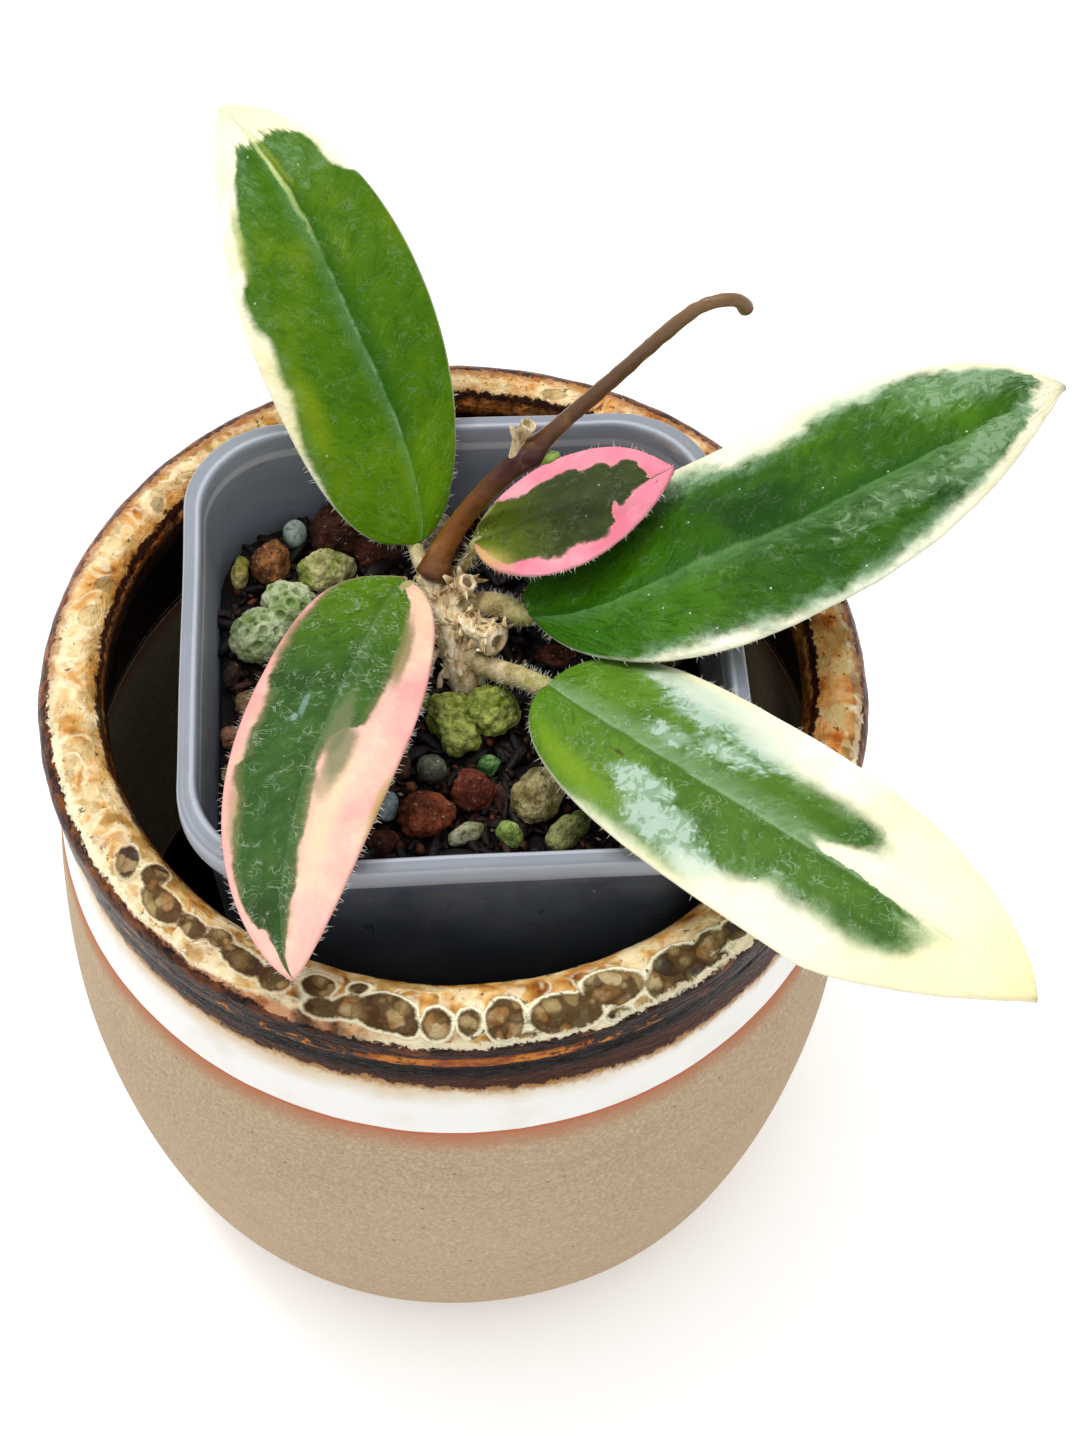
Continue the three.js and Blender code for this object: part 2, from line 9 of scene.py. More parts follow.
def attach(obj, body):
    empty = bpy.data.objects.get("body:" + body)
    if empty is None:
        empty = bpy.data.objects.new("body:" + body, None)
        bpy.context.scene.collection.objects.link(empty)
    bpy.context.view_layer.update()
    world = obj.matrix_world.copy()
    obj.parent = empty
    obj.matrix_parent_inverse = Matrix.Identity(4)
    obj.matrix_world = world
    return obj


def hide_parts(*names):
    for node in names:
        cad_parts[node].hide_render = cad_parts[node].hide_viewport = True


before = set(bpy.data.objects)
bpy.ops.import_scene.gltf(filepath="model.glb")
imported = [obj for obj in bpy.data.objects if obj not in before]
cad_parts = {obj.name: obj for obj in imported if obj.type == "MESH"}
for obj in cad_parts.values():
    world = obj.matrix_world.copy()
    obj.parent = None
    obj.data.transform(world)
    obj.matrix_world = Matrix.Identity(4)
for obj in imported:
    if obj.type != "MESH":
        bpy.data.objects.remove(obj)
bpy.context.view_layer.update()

# Camera: it stands in front of the planter, looks steeply down on it and is turned a little on its
# own axis, as the photograph was taken.
CAMERA_PLACE = (0.00981813, -0.21083833, 0.41432133)
CAMERA_YAW = radians(1.05345)
CAMERA_PITCH = radians(55.81102)
CAMERA_ROLL = radians(2.63120)
CAMERA_LENS = 59.12

looking = Vector((sin(CAMERA_YAW) * cos(CAMERA_PITCH), cos(CAMERA_YAW) * cos(CAMERA_PITCH),
                  -sin(CAMERA_PITCH)))
level = Vector((cos(CAMERA_YAW), -sin(CAMERA_YAW), 0))
upright = level.cross(looking)
camera_x = level * cos(CAMERA_ROLL) + upright * sin(CAMERA_ROLL)
camera_y = upright * cos(CAMERA_ROLL) - level * sin(CAMERA_ROLL)
camera_data = bpy.data.cameras.new("camera")
camera_data.lens = CAMERA_LENS
camera_data.sensor_width = 36
camera_data.clip_start = 0.01
camera = bpy.data.objects.new("camera", camera_data)
turn = Matrix((camera_x, camera_y, -looking)).transposed().to_4x4()
camera.matrix_world = Matrix.Translation(CAMERA_PLACE) @ turn
bpy.context.scene.collection.objects.link(camera)
bpy.context.scene.camera = camera

# Room: a white table top in a white room, with a large soft lamp overhead, a little behind, and a
# small weak one on the left that draws the highlights.
ROOM_STRENGTH = 0.84
LAMPS = [
    ("lamp_over", (-0.10, 0.16, 0.90), (0, 0, 0.08), 0.90, 3.9),
    ("lamp_side", (-0.38, 0.26, 0.72), (0, 0, 0.10), 0.12, 1.6),
]
FLOOR_HALF = 4.0
FLOOR_GLOW = 0.22

bpy.context.scene.view_settings.view_transform = "Standard"
room = bpy.data.worlds.new("room")
room.use_nodes = True
room.node_tree.nodes["Background"].inputs["Color"].default_value = (1, 1, 1, 1)
room.node_tree.nodes["Background"].inputs["Strength"].default_value = ROOM_STRENGTH
bpy.context.scene.world = room
for lamp_name, place, aim, size, watts in LAMPS:
    lamp_data = bpy.data.lights.new(lamp_name, "AREA")
    lamp_data.size = size
    lamp_data.energy = watts
    lamp = bpy.data.objects.new(lamp_name, lamp_data)
    lamp.location = place
    lamp.rotation_mode = "QUATERNION"
    lamp.rotation_quaternion = (Vector(aim) - Vector(place)).to_track_quat("-Z", "Y")
    bpy.context.scene.collection.objects.link(lamp)

drawn = bmesh.new()
bmesh.ops.create_grid(drawn, x_segments=1, y_segments=1, size=FLOOR_HALF)
floor_mesh = bpy.data.meshes.new("floor")
drawn.to_mesh(floor_mesh)
drawn.free()
floor = bpy.data.objects.new("floor", floor_mesh)
bpy.context.scene.collection.objects.link(floor)
floor_white = bpy.data.materials.new("floor_white")
floor_white.use_nodes = True
floor_shader = floor_white.node_tree.nodes["Principled BSDF"]
floor_shader.inputs["Base Color"].default_value = (0.95, 0.95, 0.95, 1)
floor_shader.inputs["Roughness"].default_value = 0.9
floor_shader.inputs["Emission Color"].default_value = (1, 1, 1, 1)
floor_shader.inputs["Emission Strength"].default_value = FLOOR_GLOW
floor_mesh.materials.append(floor_white)

# Planter: a full-bellied planter thrown in stoneware, with a thick rim rolled inwards. The clay is
# left bare below, a white slip runs round the shoulder, and a brown lava glaze lies on the rim,
# where it broke into flat cells edged with cream.
MM = 0.001
PLANTER_TURNS = 480
ROLL_RADIUS = 58.4
ROLL_Z = 114.9
ROLL_HALF = 5.1
FOOT = [(0, 0), (30, 0), (46.2, 0), (47, 0.15)]
BELLY = [(55.5, 1.6), (62.4, 17), (66.2, 50), (65.2, 77), (62.6, 97), (61.9, 106)]
UNDER_ROLL = [(61.95, 107.4), (62.15, 108.6), (62.6, 109.5), (63.15, 110.3), (63.35, 111.2),
              (63.3, 112.4), (63.4, 113.6), (63.5, 114.9)]
INSIDE = [(56.2, 106), (59.4, 82), (60.2, 52), (57, 22), (50, 11)]
PLANTER_FLOOR = [(42, 8), (20, 8), (0, 8)]
TRUE_FOOT_Z = 0.3
TRUE_FLOOR_RADIUS = 40
ROLL_FROM_Z = 105
CREST_FROM_Z = 110


def curve_through(points, steps):
    """Points along an even Catmull-Rom curve, as many steps to each gap."""
    ends = [points[0], *points, points[-1]]
    path = []
    for a, b, c, d in zip(ends, ends[1:], ends[2:], ends[3:]):
        for k in range(steps):
            t = k / steps
            path.append(tuple(
                0.5 * (2 * q + (r - p) * t + (2 * p - 5 * q + 4 * r - s) * t * t
                       + (3 * q - p - 3 * r + s) * t ** 3)
                for p, q, r, s in zip(a, b, c, d)
            ))
    return [*path, tuple(points[-1])]


def turned(bm, profile, turns):
    """Spins a profile of (radius, height) round the vertical into a closed body."""
    line = [bm.verts.new((r, 0, z)) for r, z in profile]
    edges = [bm.edges.new(pair) for pair in zip(line, line[1:])]
    bmesh.ops.spin(bm, geom=line + edges, cent=(0, 0, 0), axis=(0, 0, 1), angle=2 * pi, steps=turns,
                   use_merge=True)
    bmesh.ops.remove_doubles(bm, verts=bm.verts, dist=1e-4)
    bmesh.ops.recalc_face_normals(bm, faces=bm.faces)


def paint(red, green, blue):
    """A colour named by its screen values, 0 to 255."""
    light = ((c / 255 / 12.92) if c <= 10 else ((c / 255 + 0.055) / 1.055) ** 2.4
             for c in (red, green, blue))
    return (*light, 1)


def finish_for(name, **plain):
    """A material with its node tree and its Principled shader, set with plain values."""
    material = bpy.data.materials.new(name)
    material.use_nodes = True
    shader = material.node_tree.nodes["Principled BSDF"]
    for socket, value in plain.items():
        shader.inputs[socket.replace("_", " ")].default_value = value
    return material, material.node_tree, shader


def node(tree, kind, *inputs, **settings):
    """A shader node with its settings. Its sockets come in order: a value, a link, or None to skip."""
    made = tree.nodes.new("ShaderNode" + kind)
    for name, value in settings.items():
        setattr(made, name, value)
    for socket, value in zip(made.inputs, inputs):
        if isinstance(value, bpy.types.NodeSocket):
            tree.links.new(value, socket)
        elif value is not None:
            socket.default_value = value
    return made


def calc(tree, operation, a, b=None, c=None):
    """One step of arithmetic."""
    return node(tree, "Math", a, b, c, operation=operation).outputs[0]


def times(tree, a, b, more=None):
    """One value times another, and more added where it is given."""
    return calc(tree, "MULTIPLY" if more is None else "MULTIPLY_ADD", a, b, more)


def minus(tree, a, b=0.5):
    """One value less another, or less the middle of a noise."""
    return calc(tree, "SUBTRACT", a, b)


def carried(tree, name):
    """The value that the mesh carries under this name."""
    return node(tree, "Attribute", attribute_name=name).outputs["Fac"]


def blend(tree, share, low, high):
    """The low colour, turning into the high one as the share grows."""
    mixer = node(tree, "Mix", data_type="RGBA", blend_type="MIX", clamp_factor=True)
    for index, value in ((0, share), (6, low), (7, high)):
        if isinstance(value, bpy.types.NodeSocket):
            tree.links.new(value, mixer.inputs[index])
        else:
            mixer.inputs[index].default_value = value
    return mixer.outputs[2]


def tinted(tree, colour, here, strength, tone):
    """The colour, turned this strongly towards the tone where the mask is 1."""
    return blend(tree, times(tree, here, strength), colour, tone)


def step_up(tree, value, start, end):
    """0 below start, 1 above end, and a soft step in between. It falls where end lies below start."""
    made = node(tree, "MapRange", value, start, end, 0.0, 1.0, interpolation_type="SMOOTHSTEP")
    return made.outputs[0]


def clouds(tree, place, scale, detail=3.0, rough=0.55, twist=0.0, colour=False):
    """Fractal noise over the surface, about 0.5 in the middle."""
    made = node(tree, "TexNoise", place, None, scale, detail, rough)
    made.inputs["Distortion"].default_value = twist
    return made.outputs["Color" if colour else "Fac"]


def on_object(tree, stretch=(1, 1, 1)):
    """Object coordinates in metres, stretched along the axes."""
    place = node(tree, "TexCoord").outputs["Object"]
    if stretch == (1, 1, 1):
        return place
    return node(tree, "Mapping", place, None, None, stretch).outputs[0]


def ramp(tree, value, stops):
    """A colour for each stop of the value: (place, red, green, blue)."""
    made = node(tree, "ValToRGB", value)
    band = made.color_ramp
    while len(band.elements) < len(stops):
        band.elements.new(1.0)
    for element, (place, *colour) in zip(band.elements, stops):
        element.position = place
        element.color = paint(*colour)
    return made.outputs[0]


def traced(tree, value, points):
    """A curve through (place, height) points."""
    made = node(tree, "FloatCurve", None, value)
    made.mapping.use_clip = False
    made.mapping.extend = "HORIZONTAL"
    curve = made.mapping.curves[0]
    spread = sorted(points)
    curve.points[0].location = spread[0]
    curve.points[1].location = spread[-1]
    for place in spread[1:-1]:
        curve.points.new(*place)
    for point in curve.points:
        point.handle_type = "AUTO"
    made.mapping.update()
    return made.outputs[0]


def relief(tree, shader, height, distance):
    """Bumps on the surface, as high as the distance where the height is 1."""
    bump = node(tree, "Bump")
    bump.inputs["Distance"].default_value = distance
    bump.inputs["Strength"].default_value = 1.0
    tree.links.new(height, bump.inputs["Height"])
    tree.links.new(bump.outputs[0], shader.inputs["Normal"])


def stand(name, bm, finishes, *nodes):
    """Turns a mesh in millimetres into a smooth piece in metres that stands for these CAD nodes."""
    bmesh.ops.scale(bm, vec=(MM, MM, MM), verts=bm.verts)
    mesh = bpy.data.meshes.new(name)
    bm.to_mesh(mesh)
    bm.free()
    mesh.shade_smooth()
    for finish in finishes:
        mesh.materials.append(finish)
    piece = bpy.data.objects.new(name, mesh)
    bpy.context.scene.collection.objects.link(piece)
    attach(piece, "root")
    if nodes:
        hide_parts(*nodes)
    return piece


def from_crest(radius, z):
    """How far a place lies from the rim's crest, along the wall: outwards above 0, inwards below."""
    if z > ROLL_Z - 1 and abs(radius - ROLL_RADIUS) < ROLL_HALF + 1:
        return ROLL_HALF * atan2(radius - ROLL_RADIUS, z - ROLL_Z)
    side = 1 if radius > ROLL_RADIUS or z < PLANTER_FLOOR[0][1] - 1 else -1
    return side * (ROLL_HALF * pi / 2 + ROLL_Z - z)


# The large cells of the lava glaze, in front: (degrees round the rim, millimetres out from the
# crest, half length, half width, degrees of tilt). Small faint ones follow at random elsewhere.
RIM_CELLS = [
    (-97, 1.7, 4.4, 2.8, 2), (-93.9, 3.3, 1.7, 1.5, 20), (-90.2, 2.8, 2.4, 2.1, 90),
    (-86, 2.7, 1.9, 1.5, 86), (-81.2, 2.6, 3.3, 2.7, -80), (-73.4, 3.4, 5.2, 3.0, 8),
    (-78.5, 5.7, 1.8, 1.2, 15), (-101.2, -1.2, 1.5, 1.0, -20), (-101.8, 1.9, 2.5, 1.7, -4),
    (-66.2, 1.4, 4.4, 2.6, 14), (-60.5, 3.9, 2.3, 1.6, 88), (-56.2, 2.4, 4.5, 2.8, 12),
    (-50.8, 1.8, 2.3, 1.5, 20), (-47, 2.8, 2.5, 1.5, 30), (-51.5, 4.8, 2.5, 1.0, 20),
    (-57.2, 5.2, 2.3, 1.2, 10), (-66.5, 5.6, 2.0, 1.2, 5), (-136.8, -1.8, 2.3, 2.0, 82),
    (-132.5, 0.9, 3.7, 2.2, 0), (-126.8, 0.5, 2.4, 1.5, 9), (-122.5, -0.4, 1.9, 1.6, 0),
    (-117.8, 0.8, 3.8, 1.7, 8), (-112.8, 1.2, 2.6, 1.9, 0), (-106.8, 0.1, 2.4, 1.7, -9),
    (-105.2, 2.9, 2.6, 1.4, -7), (-141, 0.3, 2.8, 1.7, 38), (-41.5, 2.2, 3.6, 2.2, 10),
    (-35, 1.6, 2.7, 1.9, -10),
]
FAINT_CELLS = 84
CELL_SEED = 5
CELL_REACH = 8
FAR_OUTSIDE = -3.0
chance = Random(CELL_SEED)
rim_cells = [(*cell, 1.0, chance.random()) for cell in RIM_CELLS]
for _ in range(FAINT_CELLS):
    around = chance.uniform(-29, 212)
    rim_cells.append((around if around <= 180 else around - 360, chance.uniform(-2.4, 3.4),
                      chance.uniform(1.0, 2.7), chance.uniform(0.7, 1.6), chance.uniform(-60, 60),
                      chance.uniform(0.25, 0.62), chance.random()))


def cell_at(around, crest):
    """How far inside a cell a place on the rim is, in millimetres, how much it shows and its tone."""
    best = (FAR_OUTSIDE, 0.0, 0.5)
    for middle, out, long_half, short_half, tilt, show, tone in rim_cells:
        apart = (around - middle + 180) % 360 - 180
        if abs(apart) > CELL_REACH:
            continue
        x, y = radians(apart) * (ROLL_RADIUS + ROLL_HALF * sin(out / ROLL_HALF)), crest - out
        c, n = cos(radians(tilt)), sin(radians(tilt))
        far = hypot((x * c + y * n) / long_half, (y * c - x * n) / short_half)
        depth = (1 - far) * min(long_half, short_half)
        if depth > best[0]:
            best = (depth, show, tone)
    return best


roll_top = [
    (ROLL_RADIUS + ROLL_HALF * cos(radians(a)), ROLL_Z + ROLL_HALF * sin(radians(a)))
    for a in range(6, 222, 5)
]
drawn = bmesh.new()
turned(drawn, [*FOOT, *curve_through(BELLY, 14), *UNDER_ROLL, *roll_top, *curve_through(INSIDE, 8),
               *PLANTER_FLOOR],
       PLANTER_TURNS)
crest_layer = drawn.verts.layers.float.new("from_crest")
cell_layer = drawn.verts.layers.float.new("cell")
show_layer = drawn.verts.layers.float.new("cell_show")
tone_layer = drawn.verts.layers.float.new("cell_tone")
for v in drawn.verts:
    radius = hypot(v.co.x, v.co.y)
    v[crest_layer] = from_crest(radius, v.co.z)
    v[cell_layer] = FAR_OUTSIDE
    if abs(v[crest_layer]) < CELL_REACH:
        v[cell_layer], v[show_layer], v[tone_layer] = cell_at(atan2(v.co.y, v.co.x) * 180 / pi,
                                                              v[crest_layer])
    if v.co.z < TRUE_FOOT_Z or radius < TRUE_FLOOR_RADIUS:
        continue
    # A thrown body is never quite true, and the glaze lies unevenly on the roll.
    way = Vector((v.co.x / radius, v.co.y / radius, 0))
    wobble = 0.25 * noise.noise(v.co * 0.035)
    if v.co.z > ROLL_FROM_Z:
        wobble += 0.16 * noise.noise(v.co * 0.22) + 0.07 * noise.noise(v.co * 0.8)
    v.co += way * wobble
    if v.co.z > CREST_FROM_Z:
        uneven = noise.noise(v.co * 0.25 + Vector((9, 0, 0)))
        v.co.z += 0.14 * uneven * (v.co.z - CREST_FROM_Z) / 10

stoneware, tree, shader = finish_for("stoneware", Specular_IOR_Level=0.04)
place = on_object(tree)
crest = carried(tree, "from_crest")
parts = node(tree, "SeparateXYZ", place).outputs
front = step_up(tree, parts["Y"], 0.015, -0.030)
wander = minus(tree, clouds(tree, place, 55.0, 2.0))
ragged = minus(tree, clouds(tree, place, 260.0, 4.0, 0.7))
fine = minus(tree, clouds(tree, place, 900.0, 3.0, 0.7))


def shifted(slow, quick, tiny=0.0):
    """The distance from the crest, wandering slowly and raggedly by so many millimetres."""
    out = times(tree, wander, slow, crest)
    out = times(tree, ragged, quick, out)
    return times(tree, fine, tiny, out)


# Bare clay: tan, with fine grit, dark specks and the faint lines of throwing.
clay_grain = clouds(tree, place, 1500.0, 3.0, 0.7)
clay_patch = clouds(tree, place, 30.0, 3.0, 0.6)
clay = blend(tree, clay_patch, paint(160, 139, 112), paint(180, 159, 131))
clay = blend(tree, step_up(tree, clay_grain, 0.35, 0.75), clay, paint(196, 175, 148))
speck_cells = node(tree, "TexVoronoi", place, None, 420.0, feature="F1")
speck_here = times(tree, step_up(tree, speck_cells.outputs["Distance"], 0.16, 0.08),
                   step_up(tree, node(tree, "SeparateColor", speck_cells.outputs["Color"]).outputs[0],
                           0.78, 0.82))
clay = tinted(tree, clay, speck_here, 0.7, paint(112, 88, 66))
throwing = clouds(tree, on_object(tree, (6, 6, 260)), 1.6, 3.0, 0.6)
clay = tinted(tree, clay, step_up(tree, throwing, 0.45, 0.75), 0.16, paint(150, 124, 96))

# Red flash: where the slip ends, the clay burnt red-brown and fades down the belly.
SLIP_END = 33.6
flash_end = shifted(0.8, 0.3)
flash = times(tree, step_up(tree, shifted(3.5, 2.2, 1.0), SLIP_END + 6.5, SLIP_END), 0.85)
outside = blend(tree, flash, clay, paint(178, 112, 78))
line_here = times(tree, step_up(tree, flash_end, SLIP_END - 0.1, SLIP_END + 0.15),
                  step_up(tree, flash_end, SLIP_END + 0.8, SLIP_END + 0.3))
outside = tinted(tree, outside, line_here, 0.6, paint(188, 96, 74))

# White slip, clouded beige at its top.
slip = blend(tree, step_up(tree, clouds(tree, place, 90.0, 4.0), 0.5, 0.8), paint(240, 238, 234),
             paint(228, 222, 211))
slip_cloud = times(tree, step_up(tree, shifted(5.0, 3.4, 1.2), 28.0, 21.4), 0.9)
slip = blend(tree, slip_cloud, slip, paint(208, 184, 142))
slip_here = step_up(tree, flash_end, SLIP_END + 0.1, SLIP_END - 0.1)
outside = blend(tree, slip_here, outside, slip)

# Dark glaze on the outer roll: nearly black above and purple-brown below, with streaks that run round
# it and an amber one on its ridge; the pale grey streaks round its lower part are a painted reflection
# of the glaze's sheen. Where each zone of the glaze lies changes round the rim, given from the left by
# the front: (share of the way round, millimetres out from the crest).
OUTER_EDGE = [(0, 3.5), (0.06, 3.8), (0.12, 4.6), (0.18, 5.4), (0.25, 6.6), (0.38, 6.3), (0.44, 5.2),
              (0.5, 3.9), (0.56, 2.9), (0.65, 1.9), (0.75, 1.5), (0.85, 1.9), (0.94, 2.8), (1, 3.5)]
INNER_RING = [(0, -4.9), (0.12, -5.3), (0.25, -5.6), (0.4, -4.8), (0.5, -3.7), (0.75, -3.4),
              (0.9, -4.4), (1, -4.9)]
RING_SHOWN = [(0, 0.95), (0.08, 0.8), (0.15, 0.1), (0.38, 0.1), (0.44, 0.8), (0.5, 1), (1, 0.95)]
INNER_END = [(0, -6.3), (0.1, -6.6), (0.25, -7.2), (0.38, -7.2), (0.5, -8.4), (0.62, -7.6),
             (0.75, -6.4), (1, -6.3)]
RUSTY = [(0, 0.55), (0.1, 0.35), (0.2, 0.15), (0.4, 0.2), (0.5, 0.5), (0.7, 0.4), (1, 0.55)]
AMBER = [(0, 0.2), (0.08, 0.3), (0.16, 0.25), (0.22, 0.4), (0.25, 1), (0.28, 0.9), (0.32, 0.3),
         (0.4, 0.15), (1, 0.2)]
ORANGE = [(0, 0.3), (0.1, 0.2), (0.25, 0.2), (0.4, 0.6), (0.46, 1.0), (0.56, 1.0), (0.66, 0.6),
          (0.85, 0.4), (1, 0.3)]
DARK_REACH = [(0, 0.0), (0.2, 0.0), (0.25, 0.8), (0.3, 2.0), (0.4, 3.2), (0.5, 2.0), (0.6, 0.3),
              (1, 0.0)]
OUTLINED = [(0, 0.5), (0.13, 0.45), (0.2, 0.6), (0.24, 1), (1, 1)]
PALE = [(0, 0.07), (0.1, 0.04), (0.25, 0.0), (0.5, 0.0), (0.75, 0.02), (0.9, 0.05), (1, 0.05)]
round_share = times(tree, calc(tree, "ARCTAN2", parts["Y"], parts["X"]), 1 / (2 * pi), 0.5)
glaze_grain = clouds(tree, on_object(tree, (0.42, 0.42, 1.2)), 620.0, 4.0, 0.70, 0.6)
mottle = clouds(tree, place, 230.0, 4.0, 0.52)
dark = ramp(tree, glaze_grain, [(0.36, 4, 1, 0), (0.52, 14, 4, 1), (0.66, 84, 36, 8)])
# The palest grey of this ramp paints streaks of reflected sheen round the lower dark band.
low_dark_with_painted_sheen = ramp(tree, glaze_grain, [(0.36, 5, 2, 1), (0.52, 12, 5, 4), (0.64, 30, 16, 13),
                                    (0.74, 84, 70, 68)])
dark = blend(tree, step_up(tree, shifted(0.3, 0.4), 12.4, 13.2), dark, low_dark_with_painted_sheen)
dark = blend(tree, step_up(tree, shifted(0.5, 1.6, 1.2), 17.8, 20.2), dark, paint(64, 30, 12))
amber_grain = clouds(tree, on_object(tree, (0.7, 0.7, 1.2)), 480.0, 4.0, 0.78, 1.0)
amber_here = times(tree, step_up(tree, shifted(1.0, 1.2, 1.0), 9.3, 10.4),
                   step_up(tree, shifted(0.4, 0.5, 0.6), 13.0, 12.2))
amber_here = times(tree, amber_here, step_up(tree, times(tree, traced(tree, round_share, AMBER), 0.24,
                                                         amber_grain), 0.60, 0.70))
dark = tinted(tree, dark, amber_here, 0.95, ramp(tree, mottle, [
    (0.40, 140, 62, 8), (0.60, 206, 122, 30)]))
purple_here = times(tree, step_up(tree, shifted(1.2, 2.0, 1.6), 9.0, 8.0), front)
dark = tinted(tree, dark, purple_here, 0.8, ramp(tree, mottle, [
    (0.44, 10, 3, 2), (0.58, 26, 11, 8), (0.72, 104, 54, 28)]))
rust = times(tree, step_up(tree, amber_grain, 0.40, 0.58), step_up(tree, shifted(0.5, 1.0), 9.0, 7.2))
dark = tinted(tree, dark, rust, traced(tree, round_share, RUSTY), ramp(tree, mottle, [
    (0.40, 124, 56, 12), (0.62, 196, 112, 44)]))
drips = minus(tree, clouds(tree, on_object(tree, (1, 1, 0.3)), 330.0, 4.0, 0.6))
dark_end = times(tree, drips, 3.6, shifted(1.2, 1.8, 2.6))
dark_end = minus(tree, dark_end, traced(tree, round_share, DARK_REACH))
halo_end = minus(tree, shifted(2.0, 3.4, 2.4), traced(tree, round_share, DARK_REACH))
halo = times(tree, step_up(tree, halo_end, 22.8, 20.8), 0.95)
outside = blend(tree, halo, outside, paint(158, 112, 56))
dark_here = step_up(tree, dark_end, 20.9, 20.4)
outside = blend(tree, dark_here, outside, dark)

# Lava glaze on top: veined cream and tan with brown specks, orange on the right, a jagged dark line
# and an orange ring towards the inside, and the cells: in front large ones of olive and brown with
# paler blobs, each blob lightened in its middle by a painted highlight, edged with raised cream.
fold = clouds(tree, place, 130.0, 3.0, 0.5, 1.2)
middle = times(tree, step_up(tree, shifted(1.5, 1.5), -4.0, -1.0), traced(tree, round_share, PALE))
folded = times(tree, minus(tree, fold, mottle), 0.5, calc(tree, "ADD", mottle, middle))
top = ramp(tree, folded, [(0.38, 108, 68, 22), (0.44, 168, 116, 50), (0.51, 204, 160, 90),
                          (0.60, 236, 218, 172)])
orange_here = times(tree, step_up(tree, shifted(3.0, 3.4, 1.6), 3.8, 1.4),
                    traced(tree, round_share, ORANGE))
orange_tone = ramp(tree, mottle, [(0.36, 174, 90, 30), (0.48, 220, 148, 78), (0.62, 236, 196, 138)])
top = blend(tree, orange_here, top, orange_tone)
cluster = times(tree, step_up(tree, shifted(2.0, 2.0, 1.0), 1.0, 2.4),
                step_up(tree, shifted(2.0, 2.0, 1.0), 5.6, 4.6))
cluster = times(tree, cluster, step_up(tree, clouds(tree, place, 240.0, 3.0, 0.5, 0.6), 0.49, 0.55))
top = tinted(tree, top, cluster, traced(tree, round_share, ORANGE), paint(242, 230, 190))
vein = calc(tree, "ABSOLUTE", minus(tree, clouds(tree, place, 190.0, 2.0, 0.5, 0.8)))
plain_side = minus(tree, 1.0, traced(tree, round_share, ORANGE))
vein_here = times(tree, step_up(tree, vein, 0.085, 0.0), step_up(tree, shifted(2.0, 2.0), -3.2, -1.6))
vein_here = times(tree, vein_here, plain_side)
top = tinted(tree, top, vein_here, 0.7, paint(240, 232, 200))
olive = times(tree, step_up(tree, clouds(tree, place, 170.0, 3.0, 0.6), 0.52, 0.60),
              step_up(tree, vein_here, 0.5, 0.1))
top = tinted(tree, top, times(tree, olive, plain_side), 0.6, paint(140, 116, 58))
rosy = times(tree, step_up(tree, shifted(2.0, 2.4, 1.0), 3.8, 4.8),
             step_up(tree, parts["X"], 0.005, -0.02))
rosy_tone = ramp(tree, mottle, [(0.42, 64, 34, 26), (0.50, 150, 86, 50), (0.60, 202, 144, 104)])
top = tinted(tree, top, times(tree, rosy, front), 0.9, rosy_tone)

inside_cell = times(tree, fine, 0.3, times(tree, ragged, 1.3, carried(tree, "cell")))
inside_cell = calc(tree, "ADD", inside_cell, 0.22)
cell_show = carried(tree, "cell_show")
cell_tone = carried(tree, "cell_tone")
bent = node(tree, "VectorMath", clouds(tree, place, 260.0, 2.0, colour=True), (0.005,) * 3,
            operation="MULTIPLY").outputs[0]
bent = node(tree, "VectorMath", place, bent).outputs[0]
blob = node(tree, "TexVoronoi", bent, None, 340.0, feature="F1")
blob_pick = node(tree, "SeparateColor", blob.outputs["Color"]).outputs[0]
blob_tone = times(tree, cell_tone, 0.3, times(tree, minus(tree, mottle), 0.9,
                                              times(tree, blob_pick, 0.8)))
in_cell = ramp(tree, blob_tone, [(0.12, 66, 58, 52), (0.26, 104, 80, 48), (0.42, 132, 108, 68),
                                 (0.60, 160, 138, 94), (0.78, 136, 92, 48), (0.95, 178, 158, 116)])
# Each blob is lighter in its middle: a painted highlight on the glaze's bubbles.
in_cell = tinted(tree, in_cell, step_up(tree, blob.outputs["Distance"], 0.40, 0.05), 0.40,
                 paint(188, 170, 122))
blob_ring = times(tree, step_up(tree, blob.outputs["Distance"], 0.42, 0.66), 0.8)
in_cell = blend(tree, blob_ring, in_cell, paint(62, 42, 22))
in_cell = tinted(tree, in_cell, step_up(tree, inside_cell, 0.9, 0.3), 0.5, paint(76, 54, 28))
faint_cell = ramp(tree, blob_tone, [(0.2, 118, 98, 60), (0.5, 170, 138, 84), (0.85, 204, 176, 120)])
in_cell = blend(tree, step_up(tree, cell_show, 0.7, 0.9), faint_cell, in_cell)
cell_here = times(tree, step_up(tree, inside_cell, 0.05, 0.45), step_up(tree, cell_show, 0.0, 0.8))
cream_line = times(tree, step_up(tree, inside_cell, -0.40, -0.05), step_up(tree, cell_show, 0.6, 0.95))
cream_line = times(tree, cream_line, traced(tree, round_share, OUTLINED))
top = tinted(tree, top, cream_line, 0.9, paint(238, 230, 196))
top = blend(tree, cell_here, top, in_cell)
speckled = clouds(tree, place, 620.0, 4.0, 0.75)
specks = times(tree, step_up(tree, speckled, 0.60, 0.66), 0.85)
top = tinted(tree, top, specks, step_up(tree, cell_here, 0.8, 0.2), paint(70, 34, 14))

